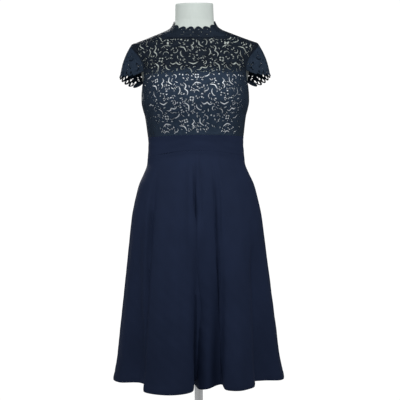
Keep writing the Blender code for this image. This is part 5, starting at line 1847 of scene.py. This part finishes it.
# %% Teeth, slider and pull tab
TOOTH_SPACING, TOOTH_OUT, TOOTH_HALF_WIDE, TOOTH_HALF = 0.0013, 0.0031, 0.0005, 0.0004
OCTAHEDRON = np.array([[0, 1, 2], [0, 2, 3], [0, 3, 4], [0, 4, 1],
                       [5, 2, 1], [5, 3, 2], [5, 4, 3], [5, 1, 4]])
HARD_EDGE = 0.00012


def points_at(where, marks, line):
    """Points between those of a line, whose own points are at the marks."""
    return np.stack([np.interp(where, marks, line[:, i]) for i in range(3)], axis=1)


def add_beads(name, points, out, along, aside, sunk, finish, slot, sharp=50):
    """A small eight-sided bead at each point. The other lines are its half sizes, as directions."""
    corners = np.stack([points + out, points + along, points + aside,
                        points - along, points - aside, points - sunk], axis=1)
    faces = (OCTAHEDRON[None] + 6 * np.arange(len(points))[:, None, None]).reshape(-1, 3)
    return add_mesh(name, corners.reshape(-1, 3), faces, finish, slot, sharp=sharp)


up_zip = walk(middle)
spots = np.arange(0.004, up_zip[-1] - 0.010, TOOTH_SPACING)
facing = points_at(spots, up_zip, outward)
tips = points_at(spots, up_zip, middle) + facing * TOOTH_OUT
deep = facing * TOOTH_HALF
upward = np.cross(facing, ACROSS_ZIP) * TOOTH_HALF
teeth = add_beads("zip_teeth", tips, deep, ACROSS_ZIP * TOOTH_HALF_WIDE, upward, deep, METAL, "dark_metal")
for node in ("zip_slider", "zip_pull_tab"):
    hard = frame["nodes"][node]
    hard.data.materials.clear()
    hard.data.materials.append(METAL)
    bevel = hard.modifiers.new("eased edges", "BEVEL")
    bevel.width, bevel.segments, bevel.limit_method = HARD_EDGE, 2, "ANGLE"
print("teeth:", len(tips))

# %% [markdown]
# ## Stitches
#
# The hem is turned up and caught by hand, with tiny pricks of thread a centimetre apart that just
# show. The lining's top edge has a line of machine stitches. Each stitch is a small closed bead laid
# along its line.

# %% Stitches
STITCH_OUT, STITCH_HALF_WIDE, STITCH_SUNK = 0.00022, 0.00018, 0.0001


def add_stitches(name, points, outward, length, finish, slot):
    """A small bead at each point, long along the line and proud of the cloth."""
    ahead = np.gradient(points, axis=0)
    ahead /= np.linalg.norm(ahead, axis=1, keepdims=True)
    up = np.cross(outward, ahead)
    return add_beads(name, points, outward * STITCH_OUT, ahead * (length / 2), up * STITCH_HALF_WIDE,
                     outward * STITCH_SUNK, finish, slot, sharp=120)


def even_places(points, spacing):
    """How far along a line, as an index that may fall between its points, each stitch lies."""
    walked = walk(points)
    return np.interp(np.arange(spacing, walked[-1] - spacing, spacing), walked, np.arange(len(points)))


# %% Hem stitches
HEM_STITCH, HEM_STITCH_SPACING, HEM_STITCH_ABOVE = 0.0012, 0.010, 0.001

hem_row = int(np.argmin(np.abs(SKIRT_ROWS - (1 - (HEM_TURN + HEM_STITCH_ABOVE) / SKIRT_LENGTH))))
hem_stitches = []
for piece in skirts:
    points = np.array([vertex.co for vertex in piece.data.vertices])
    shell = points[:len(points) // 2].reshape(len(SKIRT_ROWS), -1, 3)
    line, above = shell[hem_row], shell[hem_row - 1]
    columns = np.arange(len(line))
    places = even_places(line, HEM_STITCH_SPACING)
    at, higher = points_at(places, columns, line), points_at(places, columns, above)
    facing = np.cross(np.gradient(at, axis=0), higher - at)
    facing /= -np.linalg.norm(facing, axis=1, keepdims=True)
    name = piece.name.replace("crepe_skirt_", "hem_stitches_")
    hem_stitches.append(add_stitches(name, at, facing, HEM_STITCH, CREPE, "navy_crepe"))
print("hem stitches:", sum(len(piece.data.vertices) // 6 for piece in hem_stitches))

# %% Lining stitches
LINING_STITCH, LINING_STITCH_SPACING, LINING_STITCH_DOWN, LINING_STITCH_LIFT = 0.0020, 0.0028, 0.007, 0.0030
LINING_STITCH_POINTS, LINING_STITCH_END = 800, 0.01


def stitch_line(angles):
    lift = np.full(len(angles), LINING_STITCH_LIFT)
    return on_figure(angles, lining_top(angles) - LINING_STITCH_DOWN, lift)


lining_stitches = []
for piece in LINING:
    angles = np.linspace(piece.start + LINING_STITCH_END, piece.end - LINING_STITCH_END, LINING_STITCH_POINTS)
    places = even_places(stitch_line(angles), LINING_STITCH_SPACING)
    angles = np.interp(places, np.arange(LINING_STITCH_POINTS), angles)
    facing = square_to(figure, angles, lining_top(angles) - LINING_STITCH_DOWN)
    name = piece.name.replace("satin_", "lining_stitches_")
    made = add_stitches(name, stitch_line(angles), facing, LINING_STITCH, SATIN, "pale_lining")
    lining_stitches.append(made)
print("lining stitches:", sum(len(piece.data.vertices) // 6 for piece in lining_stitches))

# %% [markdown]
# ## What moves, and what is cloth
#
# The whole dress and its stand are one body, and only the pull tab swings. Each sheet of cloth says
# how large it was cut before it was sewn and hung.

# %% Bodies and sheets
for piece in [form, pole, base, *satin, *bands, *lace, *skirts, welts, teeth,
              *hem_stitches, *lining_stitches]:
    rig.ride(piece, "dress_and_stand")

Cut = namedtuple("Cut", "piece width length area held rests_on with_pieces")
front_lace, right_lace, left_lace, collar, left_sleeve, right_sleeve = lace
CUTS = (
    Cut(front_lace, 0.460, 0.330, 0.105, "stretched", [form, satin[0]], []),
    Cut(right_lace, 0.240, 0.330, 0.055, "stretched", [form, satin[1]], []),
    Cut(left_lace, 0.240, 0.330, 0.055, "stretched", [form, satin[1]], []),
    Cut(collar, 0.430, 0.034, 0.0130, "stretched", [form], []),
    Cut(left_sleeve, 0.240, 0.095, 0.0140, "hung", [front_lace], []),
    Cut(right_sleeve, 0.240, 0.095, 0.0140, "hung", [front_lace], []),
    Cut(satin[0], 0.430, 0.180, 0.0690, "stretched", [form], lining_stitches[:1]),
    Cut(satin[1], 0.400, 0.180, 0.0630, "stretched", [form], lining_stitches[1:]),
    Cut(bands[0], 0.400, 0.062, 0.0180, "stretched", [form], []),
    Cut(bands[1], 0.200, 0.060, 0.0105, "stretched", [form], []),
    Cut(bands[2], 0.200, 0.060, 0.0105, "stretched", [form], []),
    Cut(skirts[0], 1.000, 0.760, 0.3900, "hung", [bands[0]], hem_stitches[:1]),
    Cut(skirts[1], 0.520, 0.720, 0.1900, "hung", [bands[1]], hem_stitches[1:2]),
    Cut(skirts[2], 0.520, 0.720, 0.1900, "hung", [bands[2]], hem_stitches[2:]),
)
for c in CUTS:
    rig.sheet(c.piece, flat=(c.width, c.length), area=c.area, held=c.held, rests_on=c.rests_on,
             with_pieces=c.with_pieces)
print("sheets:", len(CUTS), "triangles in all:", sum(triangles(piece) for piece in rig.pieces()))

# %% [markdown]
# ## The size
#
# Cloth may stand a little proud of its solid, and no more. Both boxes are written to
# extents.json, and their sizes are printed.

# %% Finish
new_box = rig.bounds()
with open("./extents.json", "w") as out:
    json.dump({"cad": [list(corner) for corner in CAD_BOX], "visual": [list(corner) for corner in new_box]}, out)
for name, box in (("CAD", CAD_BOX), ("visual", new_box)):
    print(name, "size:", [round(high - low, 4) for low, high in zip(*box)])
